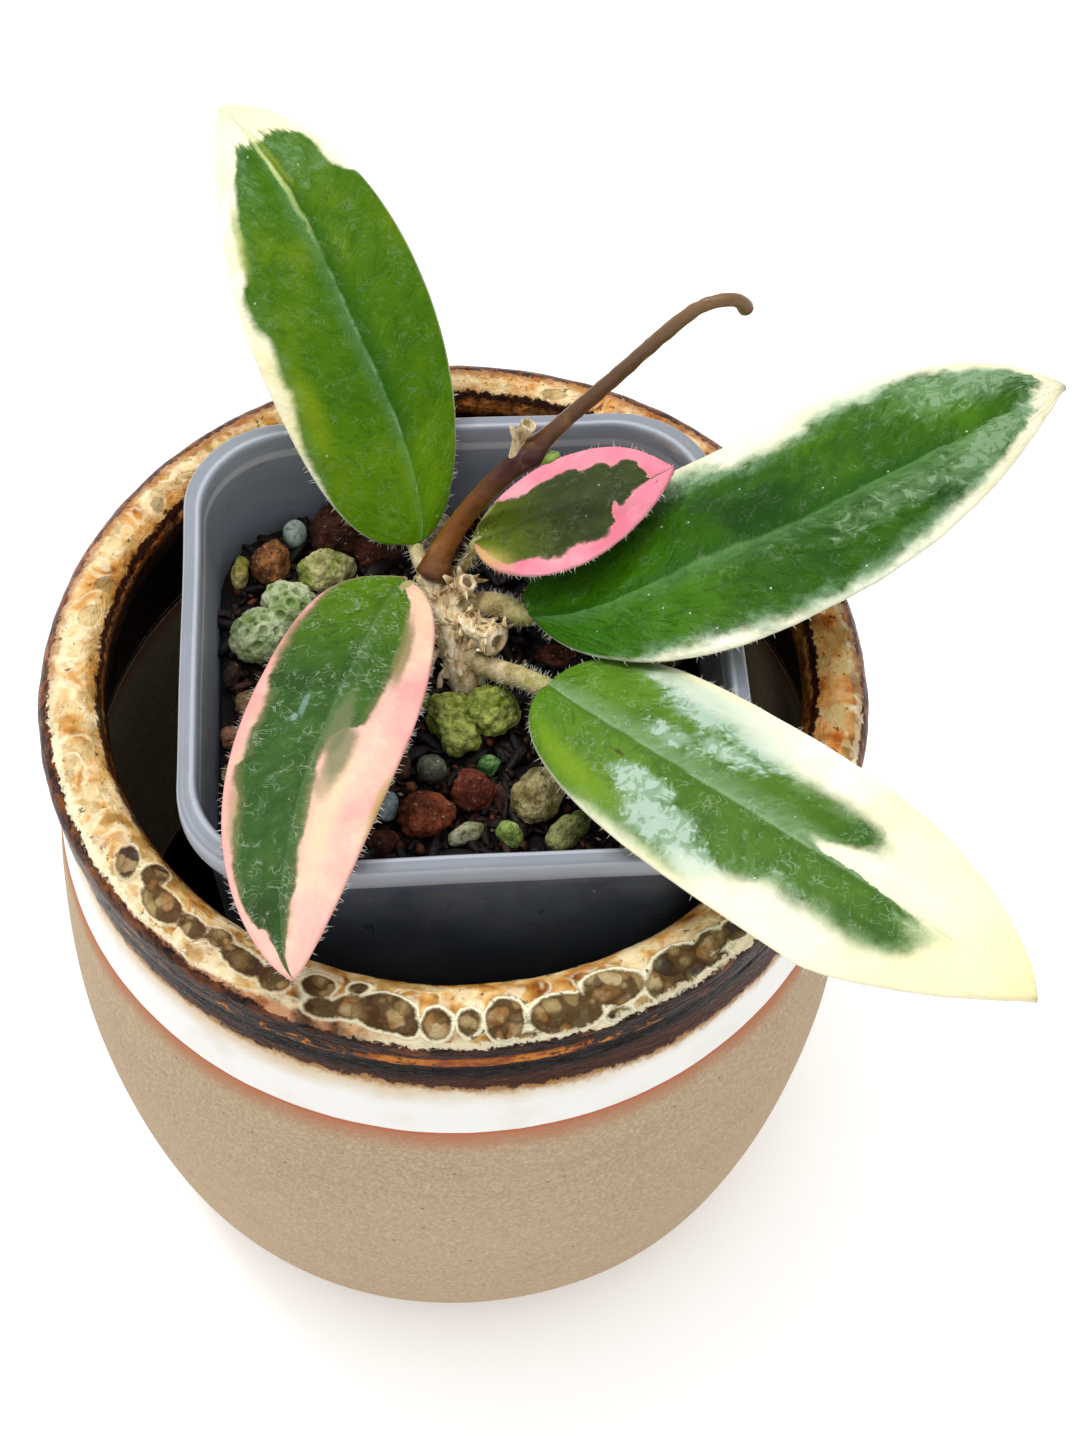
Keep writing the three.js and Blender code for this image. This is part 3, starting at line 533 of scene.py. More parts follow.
ring = minus(tree, shifted(1.0, 1.8, 2.4), traced(tree, round_share, INNER_RING))
rust_in = step_up(tree, ring, 0.8, -0.8)
top = tinted(tree, top, rust_in, 0.92, ramp(tree, glaze_grain, [
    (0.34, 56, 24, 7), (0.5, 112, 58, 16), (0.64, 176, 112, 46)]))
speck_in = times(tree, step_up(tree, speckled, 0.54, 0.60), step_up(tree, ring, 2.0, 0.0))
top = tinted(tree, top, speck_in, 0.8, paint(66, 30, 12))
ring_dark = times(tree, step_up(tree, ring, 0.8, 0.3), step_up(tree, ring, -1.2, -0.4))
top = tinted(tree, top, ring_dark, traced(tree, round_share, RING_SHOWN), paint(40, 16, 12))
# The inner side of the roll turns nearly black: partly its dark glaze, partly painted shade of the
# inside.
inner_glaze_and_shade = step_up(tree, minus(tree, shifted(0.8, 1.2, 0.8), traced(tree, round_share, INNER_END)),
                     0.6, -0.5)
top = blend(tree, inner_glaze_and_shade, top, ramp(tree, mottle, [(0.35, 16, 9, 6), (0.65, 52, 30, 16)]))
edge_at = minus(tree, shifted(1.2, 2.2, 3.0), traced(tree, round_share, OUTER_EDGE))
cream_rim = times(tree, step_up(tree, edge_at, -1.5, -0.9), step_up(tree, rosy, 0.9, 0.2))
top = tinted(tree, top, times(tree, cream_rim, front), 0.8, paint(240, 230, 196))
burnt = times(tree, step_up(tree, edge_at, -2.2, -0.4), step_up(tree, front, 0.8, 0.2))
top = tinted(tree, top, burnt, 0.75, paint(150, 84, 30))
top_here = step_up(tree, edge_at, 0.25, -0.15)
outside = blend(tree, top_here, outside, top)

# Inside: the same glaze, thin, with a few pale runs, painted nearly black: partly the glaze's own dark
# tone and partly painted shade of the deep space round the pot.
inside_grain = clouds(tree, on_object(tree, (1, 1, 0.35)), 150.0, 4.0, 0.6)
inside = ramp(tree, inside_grain, [(0.35, 12, 9, 7), (0.6, 30, 23, 19), (0.78, 70, 62, 55)])
inside_here = step_up(tree, shifted(2.0, 1.5), -10.0, -12.5)
whole = blend(tree, inside_here, outside, inside)
tree.links.new(whole, shader.inputs["Base Color"])

glossy = calc(tree, "MAXIMUM", step_up(tree, crest, 21.5, 20.5), times(tree, slip_here, 0.85))
tree.links.new(times(tree, glossy, -0.70, 0.86), shader.inputs["Roughness"])
glaze_bump = calc(tree, "ADD", times(tree, mottle, 1.0), times(tree, cream_line, 0.5))
glaze_bump = minus(tree, glaze_bump, times(tree, cell_here, 0.55))
glaze_bump = times(tree, glaze_bump, top_here)
clay_bump = calc(tree, "ADD", times(tree, clay_grain, 0.35), times(tree, throwing, 0.4))
bare = step_up(tree, flash_end, SLIP_END - 0.1, SLIP_END + 0.2)
glaze_bump = times(tree, times(tree, glaze_grain, 1.6), dark_here, glaze_bump)
height = calc(tree, "ADD", times(tree, clay_bump, times(tree, bare, 0.35)), glaze_bump)
relief(tree, shader, height, 0.00055)
stand("planter_glazed", drawn, [stoneware], "planter")

# Nursery pot: a thin square pot with round corners, moulded in frosted, bluish see-through plastic,
# with a flat lip and drain holes. It stands loose on the planter's floor, turned a little.
POT_RIM_Z = 129.0
POT_CORNER = 0.38
POT_BASE_Z = 8.3
POT_BASE_HALF = 33.4
POT_WALL = 1.1
POT_WALL_TOP = (39.9, 124.6)
POT_FLOOR_Z = 9.8
POT_PLACE = Matrix.Translation((0.95, -0.2, 0)) @ Matrix.Rotation(radians(4.95), 4, "Z")
CORNER_STEPS = 14
SIDE_STEPS = 12
BOW_FROM_Z = 60
RIPPLE_FROM_Z = 123
HOLE_RADIUS = 4
DRILL_DEPTH = 6
HOLES = [(0, 0), (17, 17), (-17, 17), (17, -17), (-17, -17)]


def wall_half(z):
    """Half the width of the pot outside, at a height."""
    share = (z - POT_BASE_Z) / (POT_WALL_TOP[1] - POT_BASE_Z)
    return POT_BASE_HALF + (POT_WALL_TOP[0] - POT_BASE_HALF) * share


def square_place(share, half):
    """A place on a square with round corners, after this share of the way round."""
    steps = CORNER_STEPS + SIDE_STEPS
    place = share * 4 * steps
    corner = int(place / steps + 1e-6) % 4
    along = place - int(place / steps + 1e-6) * steps
    radius = half * POT_CORNER
    reach = half - radius
    middles = [(reach, reach), (-reach, reach), (-reach, -reach), (reach, -reach)]
    angle = (corner + min(along / CORNER_STEPS, 1)) * pi / 2
    x, y = middles[corner]
    x, y = x + radius * cos(angle), y + radius * sin(angle)
    past = max(0, along - CORNER_STEPS) / SIDE_STEPS
    way = (corner + 1) * pi / 2
    return x - sin(way) * 2 * reach * past, y + cos(way) * 2 * reach * past


def squared(bm, profile):
    """Spins a profile, then draws its circles out to squares with round corners."""
    sides = 4 * (CORNER_STEPS + SIDE_STEPS)
    turned(bm, profile, sides)
    half_layer = bm.verts.layers.float.new("half_width")
    for v in bm.verts:
        half = hypot(v.co.x, v.co.y)
        v[half_layer] = half
        share = (atan2(v.co.y, v.co.x) / (2 * pi)) % 1
        v.co.x, v.co.y = square_place(round(share * sides) / sides, half) if half > 1e-4 else (0, 0)
    bmesh.ops.transform(bm, matrix=POT_PLACE, verts=bm.verts)


inner_rim = wall_half(POT_RIM_Z) - POT_WALL
drawn = bmesh.new()
wall_up = [(wall_half(z), z) for z in (9.3, 20, 34, 48, 62, 76, 90, 100, 108, 114, 119, 122, 124.0)]
wall_down = [(wall_half(z) - POT_WALL, z) for z in (127, 124, 121, 117, 113, 109, 104, 96, 84, 70, 54,
                                                    38, 22, 12)]
squared(drawn, [
    (0, POT_BASE_Z), (16, POT_BASE_Z), (28, POT_BASE_Z), (32.4, POT_BASE_Z), *wall_up,
    POT_WALL_TOP, (41.1, 124.65), (41.55, 124.85), (41.8, 125.3), (41.85, 126.5), (41.8, 128.1),
    (41.62, 128.65), (41.2, 128.95), (40.7, 129.0), (40.0, 128.92), (inner_rim + 0.9, 128.95),
    (inner_rim + 0.4, 128.9), (inner_rim + 0.1, 128.6), (inner_rim, 128.1), *wall_down,
    (32.2, POT_FLOOR_Z), (28, POT_FLOOR_Z), (16, POT_FLOOR_Z), (0, POT_FLOOR_Z),
])
for v in drawn.verts:
    if v.co.z > BOW_FROM_Z:
        # Thin moulded walls bow and ripple a little.
        v.co.x += 0.22 * noise.noise(v.co * 0.05) * (v.co.z - BOW_FROM_Z) / 60
        v.co.y += 0.22 * noise.noise(v.co * 0.05 + Vector((5, 5, 0))) * (v.co.z - BOW_FROM_Z) / 60
        v.co.z += 0.12 * noise.noise(v.co * 0.12) if v.co.z > RIPPLE_FROM_Z else 0

plastic, tree, shader = finish_for("frosted_plastic", IOR=1.5, Specular_IOR_Level=0.3)
place = on_object(tree)
parts = node(tree, "SeparateXYZ", place).outputs
half_width = carried(tree, "half_width")
slope = (POT_WALL_TOP[0] - POT_BASE_HALF) / (POT_WALL_TOP[1] - POT_BASE_Z)
wall_here = times(tree, parts["Z"], slope / MM, POT_BASE_HALF - POT_BASE_Z * slope)
inner = step_up(tree, minus(tree, wall_here, half_width), 0.4, 0.7)
haze = clouds(tree, place, 60.0, 3.0, 0.6)
smear = clouds(tree, on_object(tree, (1, 1, 2.2)), 110.0, 4.0, 0.7)
dust = step_up(tree, clouds(tree, place, 520.0, 3.0, 0.8), 0.63, 0.72)
lip = times(tree, step_up(tree, parts["Z"], 0.1236, 0.1248), step_up(tree, inner, 0.8, 0.2))
lip = calc(tree, "MAXIMUM", lip, step_up(tree, parts["Z"], 0.1276, 0.1284))
height_here = times(tree, minus(tree, haze), 0.008, parts["Z"])
tint = ramp(tree, node(tree, "MapRange", height_here, 0.095, 0.125).outputs[0], [
    (0.0, 152, 164, 182), (0.55, 160, 170, 186), (0.8, 156, 162, 176), (1.0, 168, 174, 186)])
tint = blend(tree, inner, blend(tree, step_up(tree, haze, 0.35, 0.65), paint(70, 80, 96),
                                paint(122, 130, 142)), tint)
tint = tinted(tree, tint, step_up(tree, smear, 0.54, 0.68), 0.45, paint(150, 128, 112))
# A bright band round the inside of the pot just below the lip: a painted highlight of a moulded ridge.
ridge = calc(tree, "ABSOLUTE", minus(tree, parts["Z"], 0.1250))
ridge_highlight = times(tree, step_up(tree, ridge, 0.0011, 0.0004), inner)
tint = tinted(tree, tint, ridge_highlight, 0.75, paint(206, 208, 214))
under_lip = times(tree, step_up(tree, parts["Z"], 0.1204, 0.1216), step_up(tree, inner, 0.5, 0.0))
tint = tinted(tree, tint, under_lip, 0.5, paint(128, 134, 144))
lip_tone = blend(tree, haze, paint(134, 140, 150), paint(158, 164, 174))
# Thin bright lines along both edges of the lip: a painted highlight.
lip_edge_highlight = step_up(tree, calc(tree, "ABSOLUTE", minus(tree, half_width, 41.75)), 0.35, 0.10)
lip_edge_highlight = calc(tree, "MAXIMUM", lip_edge_highlight,
                 step_up(tree, calc(tree, "ABSOLUTE", minus(tree, half_width, 39.7)), 0.40, 0.12))
lip_tone = tinted(tree, lip_tone, lip_edge_highlight, 0.35, paint(194, 199, 208))
tint = blend(tree, lip, tint, lip_tone)
tint = tinted(tree, tint, dust, 0.30, paint(176, 164, 140))
tree.links.new(tint, shader.inputs["Base Color"])
see = times(tree, lip, 0.20, times(tree, inner, 0.08, 0.54))
see = calc(tree, "ADD", see, times(tree, calc(tree, "MAXIMUM", ridge_highlight, times(tree, lip_edge_highlight, lip)),
                                   0.2))
tree.links.new(times(tree, dust, 0.1, see), shader.inputs["Alpha"])
tree.links.new(times(tree, haze, 0.30, 0.20), shader.inputs["Roughness"])
relief(tree, shader, clouds(tree, place, 120.0, 3.0), 0.0004)
pot = stand("nursery_pot_frosted", drawn, [plastic], "nursery_pot")

drill = bmesh.new()
for x, y in HOLES:
    at = Matrix.Translation((POT_PLACE @ Vector((x, y, POT_BASE_Z))) * MM)
    bmesh.ops.create_cone(drill, cap_ends=True, segments=28, radius1=HOLE_RADIUS * MM,
                          radius2=HOLE_RADIUS * MM, depth=DRILL_DEPTH * MM, matrix=at)
drill_mesh = bpy.data.meshes.new("drain_drill")
drill.to_mesh(drill_mesh)
drill.free()
drill_piece = bpy.data.objects.new("drain_drill", drill_mesh)
bpy.context.scene.collection.objects.link(drill_piece)
cut = pot.modifiers.new("drain_holes", "BOOLEAN")
cut.object = drill_piece
cut.solver = "EXACT"
drilled = bpy.data.meshes.new_from_object(pot.evaluated_get(bpy.context.evaluated_depsgraph_get()))
pot.modifiers.clear()
pot.data = drilled
bpy.data.objects.remove(drill_piece)

# Potting mix: damp dark fines, lumpy on top, with loose crumbs of bark and lava, twigs and a few
# pale specks lying all over it.
SOIL_Z = 109.0
SOIL_BOTTOM = 10.1
CRUMBS = 2400
CRUMB_BATCH = 50
CRUMB_SEED = 7
# The kinds of crumb: bark chips, splinters, crumbs of lava and specks of pumice, each with the
# chance below which it falls, the ranges of its three half sizes and that of its tone.
CRUMB_KINDS = [
    (0.09, [(2.4, 4.8), (0.7, 1.4), (0.5, 1.1)], (0.0, 0.22)),
    (0.62, [(0.8, 2.4), (0.4, 1.0), (0.3, 0.7)], (0.0, 0.45)),
    (0.9, [(0.4, 1.1)] * 3, (0.2, 0.75)),
    (1.0, [(0.2, 0.55)] * 3, (0.75, 1.0)),
]


def soil_lumps(x, y):
    """The soft lumps of the mix, the same as in the solid, with finer ones on top."""
    p = Vector((x, y, 0)) * 0.16
    soft = (sin(1.7 * p.x + 2.3 * p.y + 1.3) + sin(2.9 * p.y + 2.73) + sin(1.3 * p.x + 4.81)) / 3
    rough = noise.fractal(Vector((x, y, 3)) * 0.32, 0.9, 2.1, 4)
    return 0.7 * soft + 0.75 * rough


soil_edge = wall_half(108) - POT_WALL - 0.25
drawn = bmesh.new()
squared(drawn, [
    (0, SOIL_BOTTOM), (20, SOIL_BOTTOM), (wall_half(SOIL_BOTTOM) - 1.9, SOIL_BOTTOM),
    (soil_edge - 2.4, 60), (soil_edge, 107), (soil_edge, 108),
    *((soil_edge * (1 - k / 90), SOIL_Z) for k in range(1, 91)),
])
for v in drawn.verts:
    if v.co.z > SOIL_Z - 0.5:
        v.co.z += soil_lumps(v.co.x, v.co.y)
mix_dark, tree, shader = finish_for("mix_fines", Roughness=0.7, Specular_IOR_Level=0.2)
place = on_object(tree)
grit = clouds(tree, place, 420.0, 4.0, 0.75)
earth = ramp(tree, grit, [(0.35, 4, 3, 2), (0.52, 11, 7, 5), (0.64, 30, 18, 12), (0.76, 84, 62, 44)])
tree.links.new(earth, shader.inputs["Base Color"])
relief(tree, shader, grit, 0.0012)
stand("potting_mix_fines", drawn, [mix_dark], "potting_mix")


def inside_pot(x, y, margin):
    """Whether a place on the mix lies inside the pot's wall by this margin."""
    p = POT_PLACE.inverted() @ Vector((x, y, 0))
    half = soil_edge - margin
    corner = half * (1 - POT_CORNER)
    dx, dy = max(abs(p.x) - corner, 0), max(abs(p.y) - corner, 0)
    return hypot(dx, dy) < half - corner


def pour(bm, part):
    """Adds a small mesh to a large one. Many small shapes are quicker to make in small meshes."""
    batch = bpy.data.meshes.new("batch")
    part.to_mesh(batch)
    part.free()
    bm.from_mesh(batch)
    bpy.data.meshes.remove(batch)


def crumb_kind(chance):
    """Half sizes and tone of a loose crumb of one of the kinds."""
    kind = chance.random()
    sizes, tones = next((sizes, tones) for below, sizes, tones in CRUMB_KINDS if kind < below)
    return [chance.uniform(*size) for size in sizes], chance.uniform(*tones)


chance = Random(CRUMB_SEED)
drawn = bmesh.new()
drawn.verts.layers.float.new("crumb")
for _ in range(CRUMBS // CRUMB_BATCH):
    batch = bmesh.new()
    crumb_layer = batch.verts.layers.float.new("crumb")
    placed = 0
    while placed < CRUMB_BATCH:
        x, y = chance.uniform(-41, 41), chance.uniform(-41, 41)
        if not inside_pot(x, y, 1.6):
            continue
        placed += 1
        size, tone = crumb_kind(chance)
        lift = SOIL_Z + soil_lumps(x, y) + min(size) * chance.uniform(0.2, 1.6)
        matrix = Matrix.Translation((x, y, lift)) @ Matrix.Rotation(chance.uniform(0, 2 * pi), 4, "Z")
        for axis in "YX":
            matrix = matrix @ Matrix.Rotation(chance.uniform(-0.5, 0.5), 4, axis)
        crumb = bmesh.ops.create_icosphere(batch, subdivisions=1 if max(size) < 1.4 else 2,
                                           radius=1)["verts"]
        for v in crumb:
            v.co *= 1 + 0.6 * noise.noise(v.co * 1.7 + Vector((x, y, 0)))
            v[crumb_layer] = tone
        bmesh.ops.scale(batch, vec=size, verts=crumb)
        bmesh.ops.transform(batch, matrix=matrix, verts=crumb)
    pour(drawn, batch)

crumb_finish, tree, shader = finish_for("mix_crumbs", Roughness=0.5, Specular_IOR_Level=0.3)
place = on_object(tree)
tone = carried(tree, "crumb")
grain = clouds(tree, place, 900.0, 4.0, 0.7)
tone = times(tree, minus(tree, grain), 0.3, tone)
crumb_colour = ramp(tree, tone, [(0.0, 6, 4, 3), (0.28, 26, 14, 9), (0.5, 72, 36, 19),
                                 (0.72, 120, 68, 42), (0.8, 150, 132, 92), (1.0, 208, 200, 168)])
tree.links.new(crumb_colour, shader.inputs["Base Color"])
relief(tree, shader, grain, 0.0004)
crumbs = stand("potting_mix_crumbs", drawn, [crumb_finish])

# Stones: pumice, lava, worn pebbles and bark chips of the mix, each half sunk in it. A stone is
# one or more lumps, each given by its middle, half sizes and turn about the vertical.
STONES = {
    "pumice_round": [[-21.9, 22.8, 111.4, 4.5, 3.9, 3.9, 20]],
    "pumice_long": [[-31.3, 10, 111.4, 4.6, 4.5, 3.6, 30], [-27, 15.4, 112, 4.7, 4.6, 3.8, 10]],
    "pumice_yellow": [[-35.5, 22.8, 111, 1.3, 2.9, 2.6, 0]],
    "pumice_knob": [[-0.6, -4.6, 111.9, 3.7, 3.9, 3.8, 10], [5.5, -3.4, 112.1, 4.3, 4.2, 4, 40],
                    [1, -7.9, 111.2, 2.9, 2.9, 3, 0]],
    "pumice_tan": [[12.9, -18.6, 111.7, 3.7, 4.6, 3.8, -15]],
    "pumice_green": [[9, -24.6, 110.5, 1.7, 2.3, 1.7, 35]],
    "pumice_olive": [[17.8, -24, 110.9, 3.9, 2.2, 2.5, 45]],
    "pumice_hidden": [[24.4, 20.6, 111.2, 4.4, 3.9, 3.5, 10]],
    "pumice_corner": [[28.4, -26.6, 110.9, 3.4, 3.2, 2.9, 60]],
    "chip_green": [[5.4, -12.6, 110.8, 2, 1.6, 1.7, 20]],
    "shard_pale": [[2.5, -24.8, 110.8, 3, 1.6, 2, 25]],
    "lump_tan": [[-4.6, 31, 112, 3.5, 3.6, 4, 0]],
    "chip_left_low": [[-33.6, -15.6, 110.3, 1.5, 1.9, 1.5, 0]],
    "chip_left_mid": [[-34.2, -8.8, 110.3, 1.5, 2.1, 1.6, 20]],
    "chip_left_high": [[-32.4, -2, 110.3, 1.9, 2.5, 1.7, -25]],
    "lava_tall": [[-30.6, 24.2, 111.8, 3.2, 3.9, 4, 0]],
    "lava_back": [[-19.6, 31.2, 112.6, 5.6, 4.4, 4.8, 30], [-14.2, 28.6, 111, 5.2, 3.6, 3.6, -20]],
    "lava_front": [[-3.8, -22, 111.6, 4.3, 3.8, 3.6, 15]],
    "lava_mid": [[3.1, -17.8, 111.6, 3.5, 3.3, 3.5, -35]],
    "lava_right": [[15.4, 8.4, 110.6, 3.1, 1.9, 2.1, 0]],
    "lava_center": [[7.6, 16.6, 110.8, 1.8, 1.6, 2.1, 0]],
    "lava_low": [[-10.2, -26.4, 110.3, 3, 2.2, 1.9, 0]],
    "lava_hidden": [[26, -8, 111, 4.2, 3.6, 3.2, 30]],
    "bark_right": [[31.6, 7.4, 110.6, 3.4, 1.6, 2, 25]],
    "bark_flat": [[-8.6, -12.6, 110.2, 2.5, 3.1, 1.6, 15]],
    "bark_dark": [[7.5, -18, 110.2, 1.2, 2.4, 1.6, 10]],
    "bark_left": [[-35.1, 3.4, 110.3, 1.3, 2.5, 1.5, -5]],
    "pebble_white": [[-27.4, 31, 111, 2, 2.3, 2.4, 0]],
    "pebble_grey": [[-3.2, -13.6, 110.9, 2.3, 2.4, 2.2, 0]],
    "pebble_blue": [[-9.4, -20.6, 111, 1.6, 2.5, 2.3, -10]],
    "pebble_knob": [[-5.2, -0.8, 110.4, 1.4, 1.6, 1.6, 0]],
}
# How a kind of stone is shaped: how strongly it swells, how flat its broken faces are (0 for round,
# 1 for sharp), the height of its rough knobs, the height and width of its round lobes in
# millimetres, the depth of its pores, and the tone of its hollows.
STONE_KINDS = {
    "pumice": (0.12, 0.35, 0.10, 0.55, 1.9, 0.30, paint(52, 62, 18)),
    "lump": (0.12, 0.4, 0.12, 0.3, 1.4, 0.35, paint(70, 52, 30)),
    "chip": (0.10, 0.6, 0.10, 0.2, 1.2, 0.2, paint(40, 40, 20)),
    "shard": (0.08, 0.9, 0.06, 0.1, 1.2, 0.15, paint(80, 80, 50)),
    "lava": (0.06, 0.85, 0.13, 0.1, 1.6, 0.28, paint(22, 9, 5)),
    "bark": (0.05, 0.9, 0.12, 0.0, 1.0, 0.0, paint(10, 6, 5)),
    "pebble": (0.05, 0.25, 0.02, 0.0, 1.0, 0.0, paint(50, 52, 46)),
}
# The holes worn into the long pumice: (the way to each from the middle of its lump, half width).
HOLED = "pumice_long"
HOLES_WORN = [((-0.15, 0.35, 0.9), 0.20), ((0.35, 0.1, 0.9), 0.22), ((0.05, -0.35, 0.9), 0.18),
              ((-0.5, -0.1, 0.8), 0.17), ((0.6, 0.5, 0.7), 0.16), ((0.1, 0.75, 0.6), 0.2),
              ((-0.6, 0.5, 0.6), 0.16), ((0.5, -0.5, 0.7), 0.19), ((-0.35, -0.7, 0.6), 0.2),
              ((0.9, -0.1, 0.4), 0.18), ((-0.1, 0.02, 1.0), 0.10)]
HOLE_TONE = paint(84, 126, 34)
KNOB_LOBES = (0.10, 0.2, 0.10, 0.85, 1.55, 0.12, paint(52, 66, 6))
STONE_FACES = 13
GOLDEN_TURN = 2.39996
STONE_TONES = {
    "pumice_round": (paint(132, 146, 60), paint(208, 196, 138)),
    "pumice_long": (paint(134, 152, 96), paint(206, 208, 176)),
    "pumice_yellow": (paint(168, 160, 72), paint(226, 206, 142)),
    "pumice_knob": (paint(104, 118, 14), paint(186, 196, 100)),
    "pumice_tan": (paint(118, 104, 50), paint(206, 190, 138)),
    "pumice_green": (paint(96, 130, 36), paint(186, 204, 120)),
    "pumice_olive": (paint(96, 102, 40), paint(186, 186, 122)),
    "pumice_hidden": (paint(112, 110, 70), paint(196, 192, 150)),
    "pumice_corner": (paint(118, 116, 66), paint(202, 198, 150)),
    "chip_green": (paint(48, 106, 42), paint(136, 178, 110)),
    "shard_pale": (paint(130, 132, 84), paint(208, 210, 176)),
    "lump_tan": (paint(160, 134, 96), paint(218, 200, 162)),
    "chip_left_low": (paint(110, 92, 60), paint(190, 176, 132)),
    "chip_left_mid": (paint(104, 62, 44), paint(168, 122, 94)),
    "chip_left_high": (paint(78, 52, 36), paint(150, 120, 88)),
    "lava_tall": (paint(92, 50, 22), paint(178, 118, 66)),
    "lava_back": (paint(44, 20, 10), paint(88, 46, 26)),
    "lava_front": (paint(92, 40, 16), paint(156, 80, 48)),
    "lava_mid": (paint(96, 38, 22), paint(148, 76, 52)),
    "lava_right": (paint(72, 34, 24), paint(140, 84, 60)),
    "lava_center": (paint(100, 40, 26), paint(160, 84, 60)),
    "lava_low": (paint(60, 26, 16), paint(104, 52, 36)),
    "lava_hidden": (paint(66, 32, 24), paint(132, 78, 58)),
    "bark_right": (paint(62, 34, 22), paint(130, 86, 58)),
    "bark_flat": (paint(34, 22, 16), paint(84, 56, 40)),
    "bark_dark": (paint(44, 22, 16), paint(92, 56, 42)),
    "bark_left": (paint(22, 15, 12), paint(66, 46, 34)),
    "pebble_white": (paint(150, 168, 160), paint(224, 234, 228)),
    "pebble_grey": (paint(66, 70, 58), paint(122, 126, 106)),
    "pebble_blue": (paint(128, 146, 150), paint(190, 204, 206)),
    "pebble_knob": (paint(104, 126, 52), paint(172, 184, 110)),
}


def pores(p, size):
    """How deep the open pores of a porous stone are here, from 0 to 1."""
    near = noise.voronoi(p / size)[0][0]
    return max(0.0, 1 - near / 0.42) ** 1.5


def broken_faces(chance):
    """The flat faces that a stone is broken along: (which way each looks, how far out it lies)."""
    faces = []
    for k in range(STONE_FACES):
        z = 1 - 2 * (k + 0.5) / STONE_FACES
        turn = k * GOLDEN_TURN + chance.uniform(-0.5, 0.5)
        flat = sqrt(1 - z * z)
        way = Vector((flat * cos(turn), flat * sin(turn), z + chance.uniform(-0.2, 0.2)))
        faces.append((way.normalized(), chance.uniform(0.74, 0.96)))
    return faces


def reach_of(faces, way, sharp):
    """How far out the stone goes this way, between round and flat-faced."""
    total = sum(max(0.0, way.dot(face) / out) ** 9 for face, out in faces)
    return 1 + sharp * (total ** (-1 / 9) - 0.97)


def effect(name, takes, gives):
    """An empty shader group with named sockets. Gives the group, its inputs and its output sockets."""
    group = bpy.data.node_groups.new(name, "ShaderNodeTree")
    kinds = {4: "Color", 3: "Vector"}
    for socket, value in takes.items():
        kind = kinds[len(value)] if isinstance(value, tuple) else "Float"
        made = group.interface.new_socket(socket, in_out="INPUT", socket_type="NodeSocket" + kind)
        made.default_value = value
    for socket, kind in gives.items():
        group.interface.new_socket(socket, in_out="OUTPUT", socket_type="NodeSocket" + kind)
    return group, group.nodes.new("NodeGroupInput").outputs, group.nodes.new("NodeGroupOutput").inputs


def placed(tree, group, values):
    """The group in a material, with this material's own values and links. Gives its outputs."""
    made = tree.nodes.new("ShaderNodeGroup")
    made.node_tree = group
    for socket, value in values.items():
        if isinstance(value, bpy.types.NodeSocket):
            tree.links.new(value, made.inputs[socket])
        else:
            made.inputs[socket].default_value = value
    return made.outputs


# Mottled stone: darker in its pores and hollows, paler on its high grains.
stone_skin, takes, gives = effect("stone_skin", {
    "Low": paint(90, 60, 40), "High": paint(180, 160, 120), "Hollows": paint(20, 12, 8), "Porous": 0.8,
}, {"Color": "Color", "Height": "Float"})
place = on_object(stone_skin)
patches = clouds(stone_skin, place, 190.0, 4.0, 0.68)
grains = clouds(stone_skin, place, 1300.0, 3.0, 0.7)
body = blend(stone_skin, step_up(stone_skin, patches, 0.36, 0.62), takes["Low"], takes["High"])
dark = blend(stone_skin, 0.78, body, takes["Hollows"])
body = blend(stone_skin, step_up(stone_skin, grains, 0.48, 0.30), body, dark)
hollow = carried(stone_skin, "hollow")
body = tinted(stone_skin, body, hollow, takes["Porous"], dark)
pale = blend(stone_skin, 0.5, body, paint(250, 246, 226))
body = blend(stone_skin, step_up(stone_skin, grains, 0.62, 0.74), body, pale)
stone_skin.links.new(body, gives["Color"])
stone_skin.links.new(calc(stone_skin, "ADD", grains, patches), gives["Height"])


def stone_finish(name, low, high, hollows, porous):
    """A stone of two tones, darker in its hollows, porous or worn smooth."""
    material, tree, shader = finish_for(name, Roughness=0.82, Specular_IOR_Level=0.25)
    skin = placed(tree, stone_skin, {"Low": low, "High": high, "Hollows": hollows, "Porous": porous})
    tree.links.new(skin["Color"], shader.inputs["Base Color"])
    relief(tree, shader, skin["Height"], 0.0004 if porous else 0.00008)
    return material


